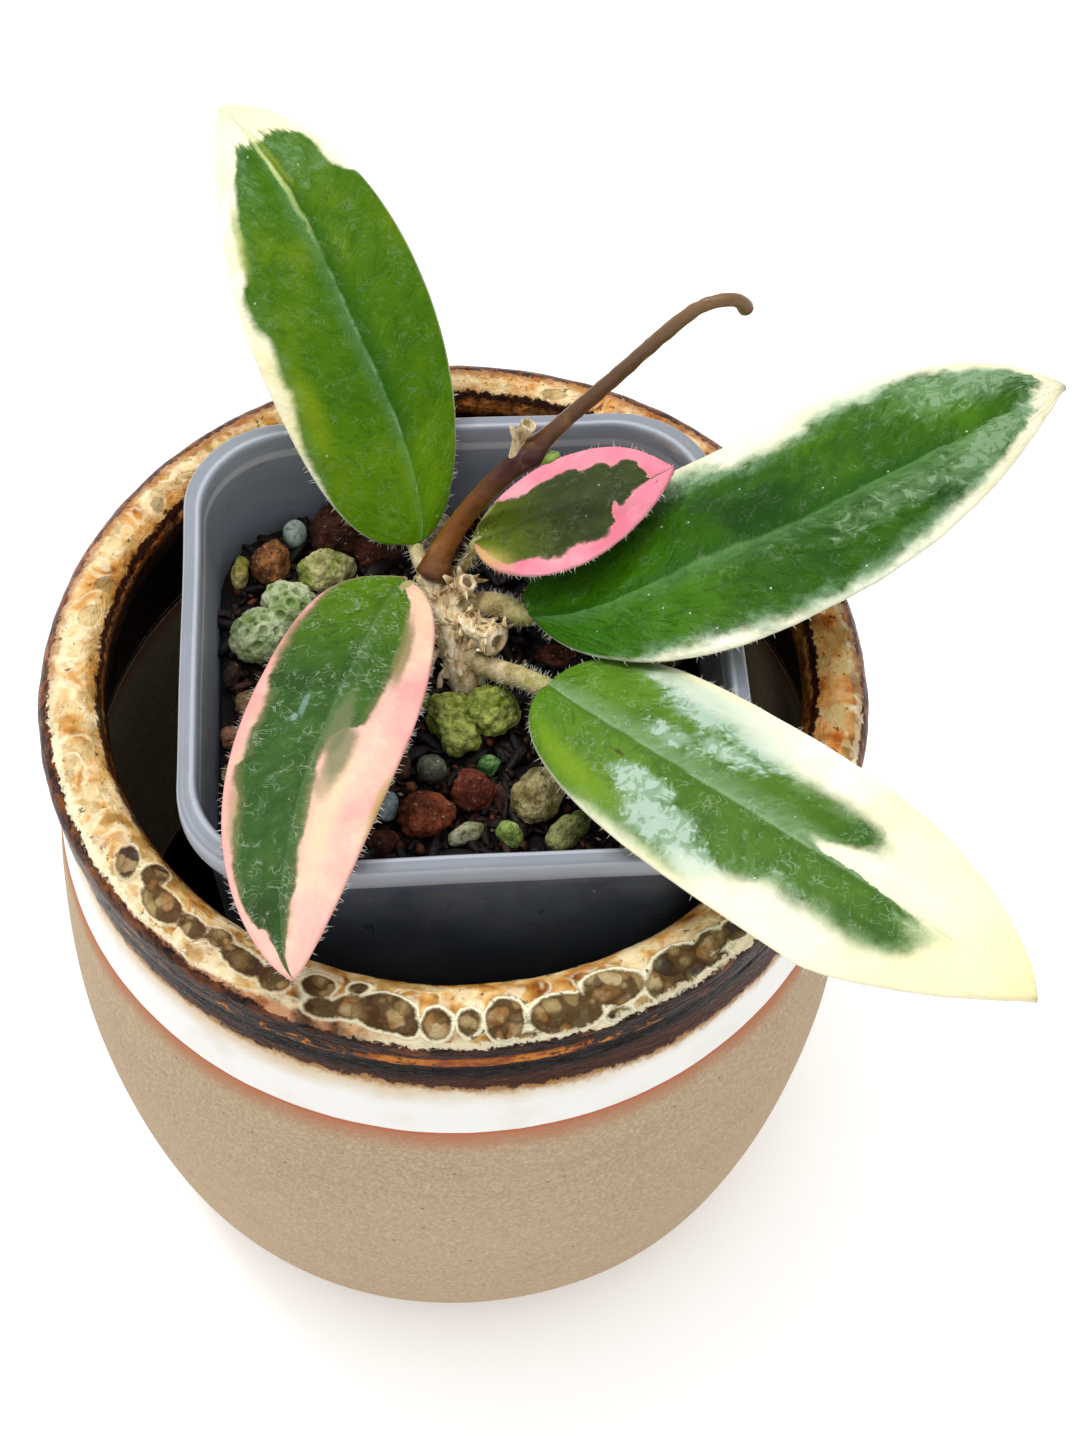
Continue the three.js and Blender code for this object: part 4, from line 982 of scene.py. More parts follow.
for name, lumps in STONES.items():
    kind = name.split("_")[0]
    swelling, sharp, knobby, lobe_height, lobe_width, pore_depth, hollow_tone = STONE_KINDS[kind]
    if name == "pumice_knob":
        swelling, sharp, knobby, lobe_height, lobe_width, pore_depth, hollow_tone = KNOB_LOBES
    holes = [(Vector(way).normalized(), half) for way, half in HOLES_WORN] if name == HOLED else []
    if holes:
        hollow_tone, pore_depth = HOLE_TONE, 0.12
    drawn = bmesh.new()
    hollow_layer = drawn.verts.layers.float.new("hollow")
    for x, y, z, rx, ry, rz, turn in lumps:
        fineness = 6 if max(rx, ry) > 3.4 else 5
        lump = bmesh.ops.create_icosphere(drawn, subdivisions=fineness, radius=1)["verts"]
        phase = x + y
        faces = broken_faces(Random(name + str(x)))
        for v in lump:
            way = v.co.copy()
            p = way * 1.6
            swell = reach_of(faces, way, sharp) + swelling * (
                sin(1.7 * p.x + 2.3 * p.y + phase) + sin(2.9 * p.y - 1.9 * p.z + 2.1 * phase)
                + sin(2.6 * p.z + 1.3 * p.x + 3.7 * phase)) / 3
            size = Vector((way.x * rx, way.y * ry, way.z * rz))
            spot_here = size + Vector((x, y, z)) * 3
            knob = noise.fractal(spot_here * 0.42, 0.9, 2.0, 5)
            pit = 0
            if pore_depth:
                pit = (pores(spot_here, 1.25) * 0.6 + pores(spot_here, 0.6) * 0.4) * pore_depth
            lobe = noise.voronoi(spot_here / lobe_width)[0][0] ** 2 if lobe_height else 0
            worn = max((1 - ((way - to).length / half) ** 4
                        for to, half in holes if (way - to).length < half), default=0)
            low_lobe = lobe * 1.1 * min(1, lobe_height * 2.5)
            v[hollow_layer] = min(1, worn + pit * 2.2 + max(0, -knob) * 0.7 + low_lobe)
            outward = lobe_height * (0.35 - lobe) - pit * 1.3 - worn * 0.8
            v.co = size * (swell + knobby * knob) + way * outward
        place = Matrix.Translation((x, y, z)) @ Matrix.Rotation(radians(turn), 4, "Z")
        bmesh.ops.transform(drawn, matrix=place, verts=lump)
    bmesh.ops.recalc_face_normals(drawn, faces=drawn.faces)
    low, high = STONE_TONES[name]
    finish = stone_finish(name + "_stone", low, high, hollow_tone, 0.0 if kind == "pebble" else 0.85)
    stand(name + "_rough", drawn, [finish], name)

# Old stem: the woody vine that comes up through the mix and lies just above it, tan and fibrous,
# with papery scales, the ring scar of a lost leaf, a cup-ended flower spur and aerial roots.
OLD_STEM = [[2.4, 3.2, 92], [2.2, 2.8, 104], [1.4, 4, 110.4], [-0.3, 9, 113.2], [-2.2, 13.6, 114.6],
            [-3.9, 17.2, 115.6]]
OLD_STEM_RADII = [2.2, 2.5, 2.9, 3, 2.9, 2.8]
SCAR_SPUR = [[-2.6, 14.6, 114.6], [-0.4, 15.6, 117.2], [1.2, 15.2, 120]]
CUP_SPUR = [[-0.9, 11, 113.8], [1, 9.6, 117], [3.6, 6.8, 118.8], [6, 4.2, 119.8]]
AERIAL_ROOTS = [
    [[-1.9, 12.6, 113.5], [-5.2, 11, 112.2], [-6.2, 8.2, 108]],
    [[-0.4, 9.2, 113], [-3.6, 6.8, 112], [-4.4, 4, 108]],
    [[0.4, 6.6, 112], [-2.4, 3.6, 111.2], [-2.6, 1.4, 108]],
    [[-1.2, 12, 114], [2.4, 10.6, 112.4], [4.6, 10.8, 108]],
]
SCALES = 210
STEM_SEED = 11
GAP_STEPS = 24
STEM_SIDES = 48
SPUR_SIDES = 36
ROOT_SIDES = 8
CUP_RINGS = (0, 1, 1, 0, -1, -1, -1)


def stem_path(points, radii, spacing):
    """Places and radii along a curve through the points, evenly spaced: (place, way, radius)."""
    knots = [Vector((*p, r)) for p, r in zip(points, radii)]
    ends = [knots[0] * 2 - knots[1], *knots, knots[-1] * 2 - knots[-2]]
    dense = []
    for a, b, c, d in zip(ends, ends[1:], ends[2:], ends[3:]):
        ta, tb, tc = (max(1e-4, sqrt((q.xyz - p.xyz).length)) for p, q in ((a, b), (b, c), (c, d)))
        m1 = ((b - a) / ta - (c - a) / (ta + tb) + (c - b) / tb) * tb
        m2 = ((c - b) / tb - (d - b) / (tb + tc) + (d - c) / tc) * tb
        for k in range(GAP_STEPS):
            t = k / GAP_STEPS
            dense.append(b * (2 * t ** 3 - 3 * t * t + 1) + m1 * (t ** 3 - 2 * t * t + t)
                         + c * (3 * t * t - 2 * t ** 3) + m2 * (t ** 3 - t * t))
    dense.append(knots[-1])
    path, gone = [dense[0]], 0.0
    for p, q in zip(dense, dense[1:]):
        gone += (q.xyz - p.xyz).length
        if gone >= spacing:
            path.append(q)
            gone = 0.0
    if (path[-1].xyz - dense[-1].xyz).length < spacing * 0.5:
        path.pop()
    path.append(dense[-1])
    ways = [(q.xyz - p.xyz).normalized() for p, q in zip([path[0], *path], [*path[1:], path[-1]])]
    ways[0] = (path[1].xyz - path[0].xyz).normalized()
    return [(p.xyz, w, p.w) for p, w in zip(path, ways)]


def stem(bm, path, sides):
    """A round stem drawn along a path, with both ends closed and rounded. Gives its vertices."""
    (first, way, radius), made = path[0], []
    turn = Vector((0, 0, 1)).rotation_difference(way)

    def frame_at(place, turn, radius):
        wide = Matrix.Diagonal((radius, radius, 1, 1))
        return Matrix.Translation(place) @ turn.to_matrix().to_4x4() @ wide

    stations = [(first - way * radius * 0.35, way, radius * 0.5),
                (first - way * radius * 0.15, way, radius * 0.85)]
    last, last_way, last_radius = path[-1]
    stations += path
    stations += [(last + last_way * last_radius * 0.2, last_way, last_radius * 0.85),
                 (last + last_way * last_radius * 0.4, last_way, last_radius * 0.5)]
    at = frame_at(stations[0][0], turn, stations[0][2])
    ring = bmesh.ops.create_circle(bm, cap_ends=False, segments=sides, radius=1, matrix=at)["verts"]
    edges = list({e for v in ring for e in v.link_edges})
    open_edges = list(edges)
    made += ring
    for place, next_way, radius in stations[1:]:
        turn = way.rotation_difference(next_way) @ turn
        way = next_way
        next_at = frame_at(place, turn, radius)
        grown = bmesh.ops.extrude_edge_only(bm, edges=edges)["geom"]
        ring = [g for g in grown if isinstance(g, bmesh.types.BMVert)]
        here = set(ring)
        edges = [e for v in ring for e in v.link_edges if e.verts[0] in here and e.verts[1] in here]
        edges = list(dict.fromkeys(edges))
        bmesh.ops.transform(bm, matrix=next_at @ at.inverted(), verts=ring)
        at = next_at
        made += ring
    for loop in (open_edges, edges):
        bmesh.ops.edgeloop_fill(bm, edges=loop)
    return made


def scale_on(bm, place, out, along, size, curl):
    """A papery scale: a thin curled strip that stands off the stem."""
    strip = bmesh.ops.create_grid(bm, x_segments=2, y_segments=4, size=1)["verts"]
    side = out.cross(along).normalized()
    for v in strip:
        x, y = v.co.x, (v.co.y + 1) / 2
        width = size * 0.42 * (1 - 0.75 * y * y)
        lift = size * curl * y * y + 0.10
        v.co = place + side * x * width + along * y * size + out * (lift - 0.22 * width * x * x)
    faces = list({f for v in strip for f in v.link_faces})
    shell = bmesh.ops.solidify(bm, geom=faces, thickness=0.07)["geom"]
    return strip + [g for g in shell if isinstance(g, bmesh.types.BMVert)]


drawn = bmesh.new()
scar_layer = drawn.verts.layers.float.new("scar")
old_path = stem_path(OLD_STEM, OLD_STEM_RADII, 0.45)
bark_verts = stem(drawn, old_path, STEM_SIDES)
scar_path = stem_path(SCAR_SPUR, [2, 1.8, 1.7], 0.4)
cup_path = stem_path(CUP_SPUR, [1.9, 1.7, 2.1, 2.7], 0.4)
for path, cup in ((scar_path, 0.82), (cup_path, 0.62)):
    end, way, radius = path[-1]
    # The end opens into a shallow cup with a raised ring.
    mouth = radius * cup
    open_path = path[:-1] + [
        (end, way, radius * 0.9), (end + way * 0.3, way, mouth), (end + way * 0.5, way, mouth * 0.92),
        (end + way * 0.35, way, mouth * 0.7), (end - way * 0.3, way, mouth * 0.5)]
    spur = stem(drawn, open_path, SPUR_SIDES)
    for k, v in enumerate(spur[-SPUR_SIDES * len(CUP_RINGS):]):
        v[scar_layer] = CUP_RINGS[k // SPUR_SIDES]
    bark_verts += spur
for root in AERIAL_ROOTS:
    bark_verts += stem(drawn, stem_path(root, [0.55, 0.5, 0.35], 0.5), ROOT_SIDES)
drawn.normal_update()
for v in bark_verts:
    p = v.co
    fibre = noise.noise(Vector((p.x * 2.2, p.y * 0.8, p.z * 1.4))) * 0.20
    v.co += v.normal * (fibre + 0.08 * noise.noise(p * 3.6))
chance = Random(STEM_SEED)
for k in range(SCALES):
    path = chance.choice([old_path, old_path, scar_path, cup_path, cup_path])
    place, way, radius = path[chance.randrange(len(path) // 5, len(path))]
    if place.z < 109.5:
        continue
    side = way.orthogonal().normalized()
    side.rotate(Matrix.Rotation(chance.uniform(0, 2 * pi), 3, way))
    if side.z < -0.5:
        continue
    along = (way * chance.uniform(-1, 1) + side.cross(way) * chance.uniform(-1, 1)).normalized()
    size, curl = chance.uniform(0.8, 2.4), chance.uniform(0.2, 1.1)
    scale_on(drawn, place + side * radius * 0.95, side, along, size, curl)
bmesh.ops.recalc_face_normals(drawn, faces=drawn.faces)
bark, tree, shader = finish_for("papery_bark", Roughness=0.75)
place = on_object(tree)
fibres = clouds(tree, on_object(tree, (1.6, 0.7, 1)), 500.0, 5.0, 0.7)
bark_colour = ramp(tree, fibres, [(0.32, 110, 78, 42), (0.41, 180, 146, 96), (0.50, 214, 190, 142),
                                  (0.62, 240, 228, 196)])
scar = carried(tree, "scar")
bark_colour = tinted(tree, bark_colour, step_up(tree, scar, 0.2, 0.9), 0.7, paint(240, 228, 200))
bark_colour = tinted(tree, bark_colour, step_up(tree, scar, -0.2, -0.9), 0.7, paint(96, 66, 42))
tree.links.new(bark_colour, shader.inputs["Base Color"])
relief(tree, shader, fibres, 0.0004)
stand("old_stem_bark", drawn, [bark], "old_stem")

# Young shoot: the smooth brown vine tip with a swollen purple node, a dried forked stub, a small
# green bud, and a thin end that curls over.
SHOOT = [[-4.2, 17.7, 118.6], [-3.2, 19.6, 121], [-0.4, 22, 126], [4.3, 23.3, 133.5],
         [7.9, 22.9, 139.2], [9.4, 22.8, 141.4], [10.8, 22.7, 143.3], [12.3, 23.1, 145.2],
         [15, 23.7, 148.6], [21.6, 24.3, 157], [27.5, 23.9, 166], [33.4, 24.2, 173],
         [36.6, 24.5, 174.2], [38.9, 25.4, 173.2], [40, 26, 171.2]]
SHOOT_SIDES = 32
SHOOT_RADII = [2.9, 2.1, 1.7, 1.65, 1.75, 2.15, 2.3, 1.55, 1.25, 1.2, 1.1, 1.0, 0.95, 1.0, 1.15]
STUB = [[8.6, 22.8, 141], [8.7, 23, 145.5], [10, 23.2, 148.4]]
BUD = [[10.4, 22.5, 142], [12.8, 22, 142.6], [14.4, 21.7, 143.6]]

drawn = bmesh.new()
shoot_verts = stem(drawn, stem_path(SHOOT, SHOOT_RADII, 0.55), SHOOT_SIDES)
drawn.normal_update()
for v in shoot_verts:
    p = v.co
    ripple = 0.06 * noise.noise(Vector((p.x * 1.5, p.y * 3, p.z * 1.2)))
    v.co += v.normal * (0.13 * noise.noise(p * 0.7) + ripple)
shoot_skin, tree, shader = finish_for("shoot_skin", Roughness=0.34, Specular_IOR_Level=0.35)
place = on_object(tree)
parts = node(tree, "SeparateXYZ", place).outputs
along = node(tree, "MapRange", parts["Z"], 0.118, 0.176).outputs[0]
streak = clouds(tree, on_object(tree, (1, 1.6, 0.7)), 260.0, 4.0, 0.65)
skin = ramp(tree, times(tree, minus(tree, streak), 0.10, along), [
    (0.0, 70, 34, 16), (0.10, 122, 72, 18), (0.24, 108, 64, 28), (0.34, 80, 44, 40), (0.45, 62, 28, 36),
    (0.49, 88, 56, 34), (0.78, 92, 64, 42), (0.96, 112, 84, 52)])
skin = tinted(tree, skin, step_up(tree, streak, 0.55, 0.75), 0.35, paint(166, 126, 84))
skin = tinted(tree, skin, step_up(tree, streak, 0.42, 0.28), 0.5, paint(58, 36, 30))
tree.links.new(skin, shader.inputs["Base Color"])
relief(tree, shader, streak, 0.0002)
stub_finish, tree, shader = finish_for("dried_stub", Roughness=0.8)
dry = clouds(tree, on_object(tree, (2, 2, 0.6)), 420.0, 4.0, 0.7)
tree.links.new(ramp(tree, dry, [(0.34, 132, 104, 66), (0.55, 206, 186, 146), (0.7, 236, 224, 192)]),
               shader.inputs["Base Color"])
relief(tree, shader, dry, 0.0003)
bud_finish, tree, shader = finish_for("green_bud", Roughness=0.5)
fresh = clouds(tree, on_object(tree), 500.0, 3.0)
tree.links.new(ramp(tree, fresh, [(0.35, 96, 128, 42), (0.65, 158, 186, 88)]),
               shader.inputs["Base Color"])
stub_from = len(drawn.faces)
stub_path = stem_path(STUB, [1.6, 1.0, 1.25], 0.4)
end, way, radius = stub_path[-1]
stem(drawn, stub_path + [(end + way * 0.15, way, radius * 0.9), (end - way * 0.2, way, radius * 0.72),
                         (end - way * 0.9, way, radius * 0.5)], 18)
stem(drawn, stem_path([[8.7, 23, 145], [7.9, 22.6, 147], [7.4, 22.4, 148.6]], [0.8, 0.6, 0.35], 0.4),
     12)
bud_from = len(drawn.faces)
stem(drawn, stem_path(BUD, [1.1, 1.1, 0.5], 0.35), 16)
drawn.faces.ensure_lookup_table()
for index, face in enumerate(drawn.faces):
    face.material_index = 0 if index < stub_from else 1 if index < bud_from else 2
bmesh.ops.recalc_face_normals(drawn, faces=drawn.faces)
stand("young_shoot_skin", drawn, [shoot_skin, stub_finish, bud_finish], "young_shoot")

# Leaves: thick, waxy blades on short stalks, each arched along its length and cupped across it,
# grown green in the middle with a cream or pink margin, and hairy at the stalk and the margin.
LEAF_COLUMNS = 56
LEAF_ROWS = 150
MIDRIB_THICKNESS = 1.25
MARGIN_THICKNESS = 0.8
MARGIN_ROUND = 0.4
TIP_HALF_WIDTH = 0.2
RIB_HALF_WIDTH = 0.9
STALK_SIDES = 20


def outline_share(t, side):
    """The share of its full width that this side of the blade has at t."""
    _, widest, full, taper, blunt, _ = side
    if t < widest:
        return max(0.0, 1 - (1 - t / widest) ** full) ** (1 / full)
    return max(0.0, 1 - ((t - widest) / (1 - widest)) ** taper) ** blunt


def leaf_axes(leaf):
    """The blade's base, the ways along and across it and up from it, and its length."""
    base, tip = Vector(leaf["base"]), Vector(leaf["tip"])
    along = (tip - base).normalized()
    across_level = Vector((0, 0, 1)).cross(along).normalized()
    raised = along.cross(across_level)
    roll = radians(leaf["roll"])
    across = across_level * cos(roll) + raised * sin(roll)
    up = raised * cos(roll) - across_level * sin(roll)
    return base, along, across, up, (tip - base).length


def blade_point(leaf, axes, t, s, depth):
    """A point of the blade: t from base to tip, s from -1 at the left margin to 1 at the right."""
    base, along, across, up, length = axes
    side = leaf["left"] if s < 0 else leaf["right"]
    share = outline_share(t, side)
    hump = 4 * t * (1 - t)
    middle = hump * (leaf["sway"][0] + leaf["sway"][1] * (2 * t - 1))
    width = max(side[0] * share, TIP_HALF_WIDTH)
    back = -side[5] * s * s * (1 - t) ** 6
    raise_up = leaf["arch"] * hump + leaf["cup"] * s * s * share - depth
    return base + along * (t * length + back) + across * (middle - s * width) + up * raise_up


def hair_on(bm, place, way, length, radius=0.045):
    """A fine hair."""
    turn = Vector((0, 0, 1)).rotation_difference(way).to_matrix().to_4x4()
    at = Matrix.Translation(place + way * length * 0.45) @ turn
    bmesh.ops.create_cone(bm, cap_ends=True, segments=3, radius1=radius, radius2=radius * 0.2,
                          depth=length, matrix=at)


def drawn_leaf(leaf, seed):
    """The blade with its stalk and hairs, in millimetres. Their faces take the leaf's finishes."""
    bm = bmesh.new()
    s_layer = bm.verts.layers.float.new("across")
    t_layer = bm.verts.layers.float.new("along")
    under_layer = bm.verts.layers.float.new("under")
    top = bmesh.ops.create_grid(bm, x_segments=LEAF_COLUMNS, y_segments=LEAF_ROWS, size=1)["verts"]
    shell = bmesh.ops.extrude_face_region(bm, geom=list(bm.faces), use_keep_orig=True)["geom"]
    below = {g for g in shell if isinstance(g, bmesh.types.BMVert)}
    axes = leaf_axes(leaf)
    length = axes[4]
    for v in bm.verts:
        s, t = sin(pi / 2 * v.co.x), (1 - cos(pi * (v.co.y + 1) / 2)) / 2
        side = leaf["left"] if s < 0 else leaf["right"]
        width = max(side[0] * outline_share(t, side), TIP_HALF_WIDTH)
        inward = min((1 - abs(s)) * width, (1 - t) * length, t * length, MARGIN_ROUND)
        drop = MARGIN_ROUND - sqrt(max(0.0, MARGIN_ROUND ** 2 - (MARGIN_ROUND - inward) ** 2))
        thickness = MIDRIB_THICKNESS + (MARGIN_THICKNESS - MIDRIB_THICKNESS) * s * s
        off = abs(s) * width
        rib = 2.718 ** (-(off / RIB_HALF_WIDTH) ** 2) * min(1, 6 * (1 - t))
        if v in below:
            depth = thickness - drop + 0.55 * rib
            v[under_layer] = 1.0
        else:
            depth = drop + 0.30 * rib
        v[s_layer], v[t_layer] = s, t
        point = blade_point(leaf, axes, t, s, depth)
        soft = noise.fractal(point * leaf["wrinkle_size"], 0.9, 2.0, 3)
        vein = sin(2 * pi * (t * length - off * 0.9) / leaf["vein_gap"]) * min(1, off / 4)
        lift = leaf["wrinkle"] * soft + leaf["vein"] * vein
        v.co = point + axes[3] * lift * min(1, inward / MARGIN_ROUND + 0.3)
    bmesh.ops.remove_doubles(bm, verts=bm.verts, dist=1e-3)
    stalk_layer = bm.verts.layers.float.new("stalk")
    stalk_path = stem_path(leaf["petiole"], leaf["petiole_radii"], 0.5)
    stalk = stem(bm, stalk_path, STALK_SIDES)
    for k, v in enumerate(stalk):
        v[stalk_layer] = k / len(stalk)
        v.co += Vector((1, 1, 1)) * 0.05 * noise.noise(v.co * 1.3)
        for face in v.link_faces:
            face.material_index = 1
    bmesh.ops.recalc_face_normals(bm, faces=bm.faces)
    chance = Random(seed)
    hairs = bmesh.new()
    for _ in range(leaf["margin_hairs"]):
        t = chance.random() ** leaf["hairs_to_base"]
        s = chance.choice([-1, 1])
        place = blade_point(leaf, axes, t, s * 0.995, 0.4)
        out = -axes[2] * s + axes[1] * chance.uniform(-0.6, 0.7) + axes[3] * chance.uniform(-0.7, 0.7)
        if t < 0.03:
            out = out - axes[1] * 1.5
        hair_on(hairs, place, out.normalized(), chance.uniform(0.5, 1.25), 0.045)
    for _ in range(leaf["stalk_hairs"]):
        place, way, radius = chance.choice(stalk_path)
        out = way.orthogonal().normalized()
        out.rotate(Matrix.Rotation(chance.uniform(0, 2 * pi), 3, way))
        lean = (out + way * chance.uniform(-0.6, 0.6)).normalized()
        hair_on(hairs, place + out * radius * 0.95, lean, chance.uniform(0.5, 1.5), 0.05)
    for face in hairs.faces:
        face.material_index = 2
    pour(bm, hairs)
    return bm


def spot(tree, along, across, patch):
    """A round patch on the blade, given by its middle, half sizes and the share of it that is full."""
    t, s, half_t, half_s, core = (*patch, 0.15)[:5]
    dt = times(tree, minus(tree, along, t), 1 / half_t)
    ds = times(tree, minus(tree, across, s), 1 / half_s)
    far = calc(tree, "SQRT", calc(tree, "ADD", times(tree, dt, dt), times(tree, ds, ds)))
    return step_up(tree, far, 1.28 - 0.22 * core, core)


# Places on a blade: along and across it, the same with ragged shifts, and a place in millimetres
# that is slanted as the side veins are, for streaks.
blade_place, takes, gives = effect(
    "blade_place", {"Length": 80.0, "Width": 15.0, "Jag": 0.1, "Jag Scale": 330.0},
    {"Along": "Float", "Across": "Float", "Ragged Along": "Float", "Ragged Across": "Float",
     "Streaks": "Vector"})
across = carried(blade_place, "across")
along = carried(blade_place, "along")
jag = node(blade_place, "SeparateColor", clouds(blade_place, on_object(blade_place), takes["Jag Scale"],
                                                4.0, 0.66, colour=True)).outputs
ragged_across = times(blade_place, minus(blade_place, jag[0]), takes["Jag"], across)
ragged_along = times(blade_place, minus(blade_place, jag[1]), times(blade_place, takes["Jag"], 0.45),
                     along)
out_mm = times(blade_place, across, takes["Width"])
slant_mm = times(blade_place, calc(blade_place, "ABSOLUTE", out_mm), -0.6,
                 times(blade_place, along, takes["Length"]))
blade_place.links.new(along, gives["Along"])
blade_place.links.new(across, gives["Across"])
blade_place.links.new(ragged_along, gives["Ragged Along"])
blade_place.links.new(ragged_across, gives["Ragged Across"])
blade_place.links.new(node(blade_place, "CombineXYZ", slant_mm, out_mm).outputs[0], gives["Streaks"])

# The skin of a blade: greens inside its traced margins, a painted shade darkening one side of the
# groove along the midrib and a painted highlight on the bank at its other side, and frost, down,
# flecks, half tones and a tinted margin.
blade_skin, takes, gives = effect("blade_skin", {
    "Inside": 0.0, "From Rib": 0.0, "Along": 0.0, "Across": 0.0, "Frost": 0.0,
    "Streaks": (0.0, 0.0, 0.0), "Edge": 0.015, "Deep": paint(40, 90, 10), "Mid": paint(70, 120, 20),
    "Bright": paint(100, 140, 30), "Groove Shade": paint(30, 80, 10), "Groove Side": 1.0,
    "Groove Width": 0.15, "Groove Strength": 0.5, "Bank Highlight": paint(120, 160, 110), "Bank Width": 0.25,
    "Bank Strength": 0.3, "Line": paint(150, 180, 110), "Line Strength": 0.3,
    "Glow": paint(112, 160, 30), "Glow Reach": 0.4, "Glow Strength": 0.6, "Veil": paint(130, 165, 140),
    "Veil Strength": 0.6, "Net": paint(222, 232, 224), "Net Strength": 0.5, "Down": 0.3, "Flecks": 0.5,
    "Half Tone": paint(130, 150, 110), "Half Width": 0.14, "Half Strength": 0.6,
    "Margin": paint(240, 230, 200), "Margin Deep": paint(230, 215, 170),
    "Margin Pale": paint(246, 240, 220), "Tip": paint(240, 225, 160), "Tip From": 0.8,
    "Tip Strength": 0.6, "Wash": paint(190, 200, 150), "Wash Width": 0.1, "Wash Strength": 0.45,
    "Rim": paint(240, 236, 214), "Rim Strength": 0.5, "Under": paint(150, 176, 96), "Gloss": 0.25,
    "Crinkle": 0.4,
}, {"Color": "Color", "Roughness": "Float", "Height": "Float"})
tree = blade_skin
place = on_object(tree)
broad = clouds(tree, place, 42.0, 3.0, 0.6)
mottle = clouds(tree, place, 210.0, 4.0, 0.70)
fine = clouds(tree, place, 1100.0, 2.0, 0.7)
streak_place = node(tree, "Mapping", takes["Streaks"], None, None, (0.85, 0.70, 1.0)).outputs[0]
streak = clouds(tree, streak_place, 0.50, 4.0, 0.60, 0.9)
lace = clouds(tree, place, 330.0, 3.0, 0.62, 1.6)
under = carried(tree, "under")
green = blend(tree, step_up(tree, broad, 0.34, 0.50), takes["Deep"], takes["Mid"])
green = blend(tree, step_up(tree, broad, 0.50, 0.68), green, takes["Bright"])
side = times(tree, takes["From Rib"], takes["Groove Side"])
from_rib = calc(tree, "ABSOLUTE", takes["From Rib"])
glow = times(tree, node(tree, "MapRange", takes["Along"], takes["Glow Reach"], 0.0).outputs[0],
             takes["Glow Strength"])
green = blend(tree, glow, green, takes["Glow"])
green = tinted(tree, green, step_up(tree, streak, 0.50, 0.34), 0.45, takes["Deep"])
green = tinted(tree, green, step_up(tree, streak, 0.55, 0.72), 0.35, takes["Bright"])
# Painted shade on one side of the midrib groove, and a painted highlight on the bank at its other side.
groove_shade = times(tree, step_up(tree, side, -0.01, 0.02),
               node(tree, "MapRange", side, takes["Groove Width"], 0.0).outputs[0])
green = tinted(tree, green, groove_shade, takes["Groove Strength"], takes["Groove Shade"])
bank_highlight = times(tree, step_up(tree, side, 0.02, -0.02),
             node(tree, "MapRange", side, times(tree, takes["Bank Width"], -1.0), 0.0).outputs[0])
bank_highlight = times(tree, bank_highlight, times(tree, streak, 1.2, 0.3))
green = tinted(tree, green, bank_highlight, takes["Bank Strength"], takes["Bank Highlight"])

frost = calc(tree, "ADD", takes["Frost"], times(tree, takes["Frost"], minus(tree, mottle)))
veil = step_up(tree, times(tree, minus(tree, streak), 1.5, frost), 0.25, 1.0)
green = tinted(tree, green, veil, takes["Veil Strength"], takes["Veil"])
weave = times(tree, minus(tree, lace), 2.2, minus(tree, streak))
net = step_up(tree, times(tree, frost, 0.5, weave), 0.42, 0.60)
net = times(tree, net, step_up(tree, frost, 0.15, 0.5))
green = tinted(tree, green, net, takes["Net Strength"], takes["Net"])

half = times(tree, node(tree, "MapRange", takes["Inside"], takes["Half Width"], 0.0).outputs[0],
             step_up(tree, mottle, 0.36, 0.62))
green = tinted(tree, green, half, takes["Half Strength"], takes["Half Tone"])

patchy = clouds(tree, place, 65.0, 3.0, 0.6)
margin = blend(tree, step_up(tree, patchy, 0.50, 0.36), takes["Margin"], takes["Margin Deep"])
margin = blend(tree, step_up(tree, patchy, 0.52, 0.66), margin, takes["Margin Pale"])
margin = tinted(tree, margin, step_up(tree, streak, 0.54, 0.70), 0.35, takes["Margin Pale"])
tip = times(tree, node(tree, "MapRange", takes["Along"], takes["Tip From"], 1.0).outputs[0],
            takes["Tip Strength"])
margin = blend(tree, tip, margin, takes["Tip"])
wash = times(tree, node(tree, "MapRange", takes["Inside"], times(tree, takes["Wash Width"], -1.0),
                        0.0).outputs[0], step_up(tree, mottle, 0.38, 0.62))
margin = tinted(tree, margin, wash, takes["Wash Strength"], takes["Wash"])
green_here = node(tree, "MapRange", takes["Inside"], times(tree, takes["Edge"], -1.0), takes["Edge"],
                  interpolation_type="SMOOTHSTEP").outputs[0]
colour = blend(tree, green_here, margin, green)

line = times(tree, step_up(tree, from_rib, 0.035, 0.0), takes["Line Strength"])
line = times(tree, line, step_up(tree, mottle, 0.36, 0.56))
colour = blend(tree, line, colour, takes["Line"])
curls = node(tree, "SeparateColor", clouds(tree, place, 430.0, 1.5, 0.5, 0.9, colour=True)).outputs
curl = calc(tree, "MINIMUM", *(calc(tree, "ABSOLUTE", minus(tree, curls[k])) for k in (0, 1)))
curl_here = times(tree, step_up(tree, clouds(tree, place, 260.0, 3.0, 0.7), 0.44, 0.58), takes["Down"])
down = times(tree, step_up(tree, curl, 0.020, 0.002), curl_here)
colour = blend(tree, down, colour, paint(196, 208, 188))
cells = node(tree, "TexVoronoi", place, None, 520.0, feature="F1")
pick = node(tree, "SeparateColor", cells.outputs["Color"]).outputs[0]
fleck = times(tree, step_up(tree, cells.outputs["Distance"], 0.12, 0.06),
              step_up(tree, pick, 0.86, 0.90))
colour = tinted(tree, colour, fleck, takes["Flecks"], paint(222, 228, 214))
rim = times(tree, step_up(tree, calc(tree, "ABSOLUTE", takes["Across"]), 0.965, 1.0),
            takes["Rim Strength"])
colour = blend(tree, rim, colour, takes["Rim"])
colour = tinted(tree, colour, under, 0.6, takes["Under"])
tree.links.new(colour, gives["Color"])
tree.links.new(times(tree, mottle, 0.45, takes["Gloss"]), gives["Roughness"])
height = times(tree, streak, takes["Crinkle"], times(tree, mottle, 0.45))
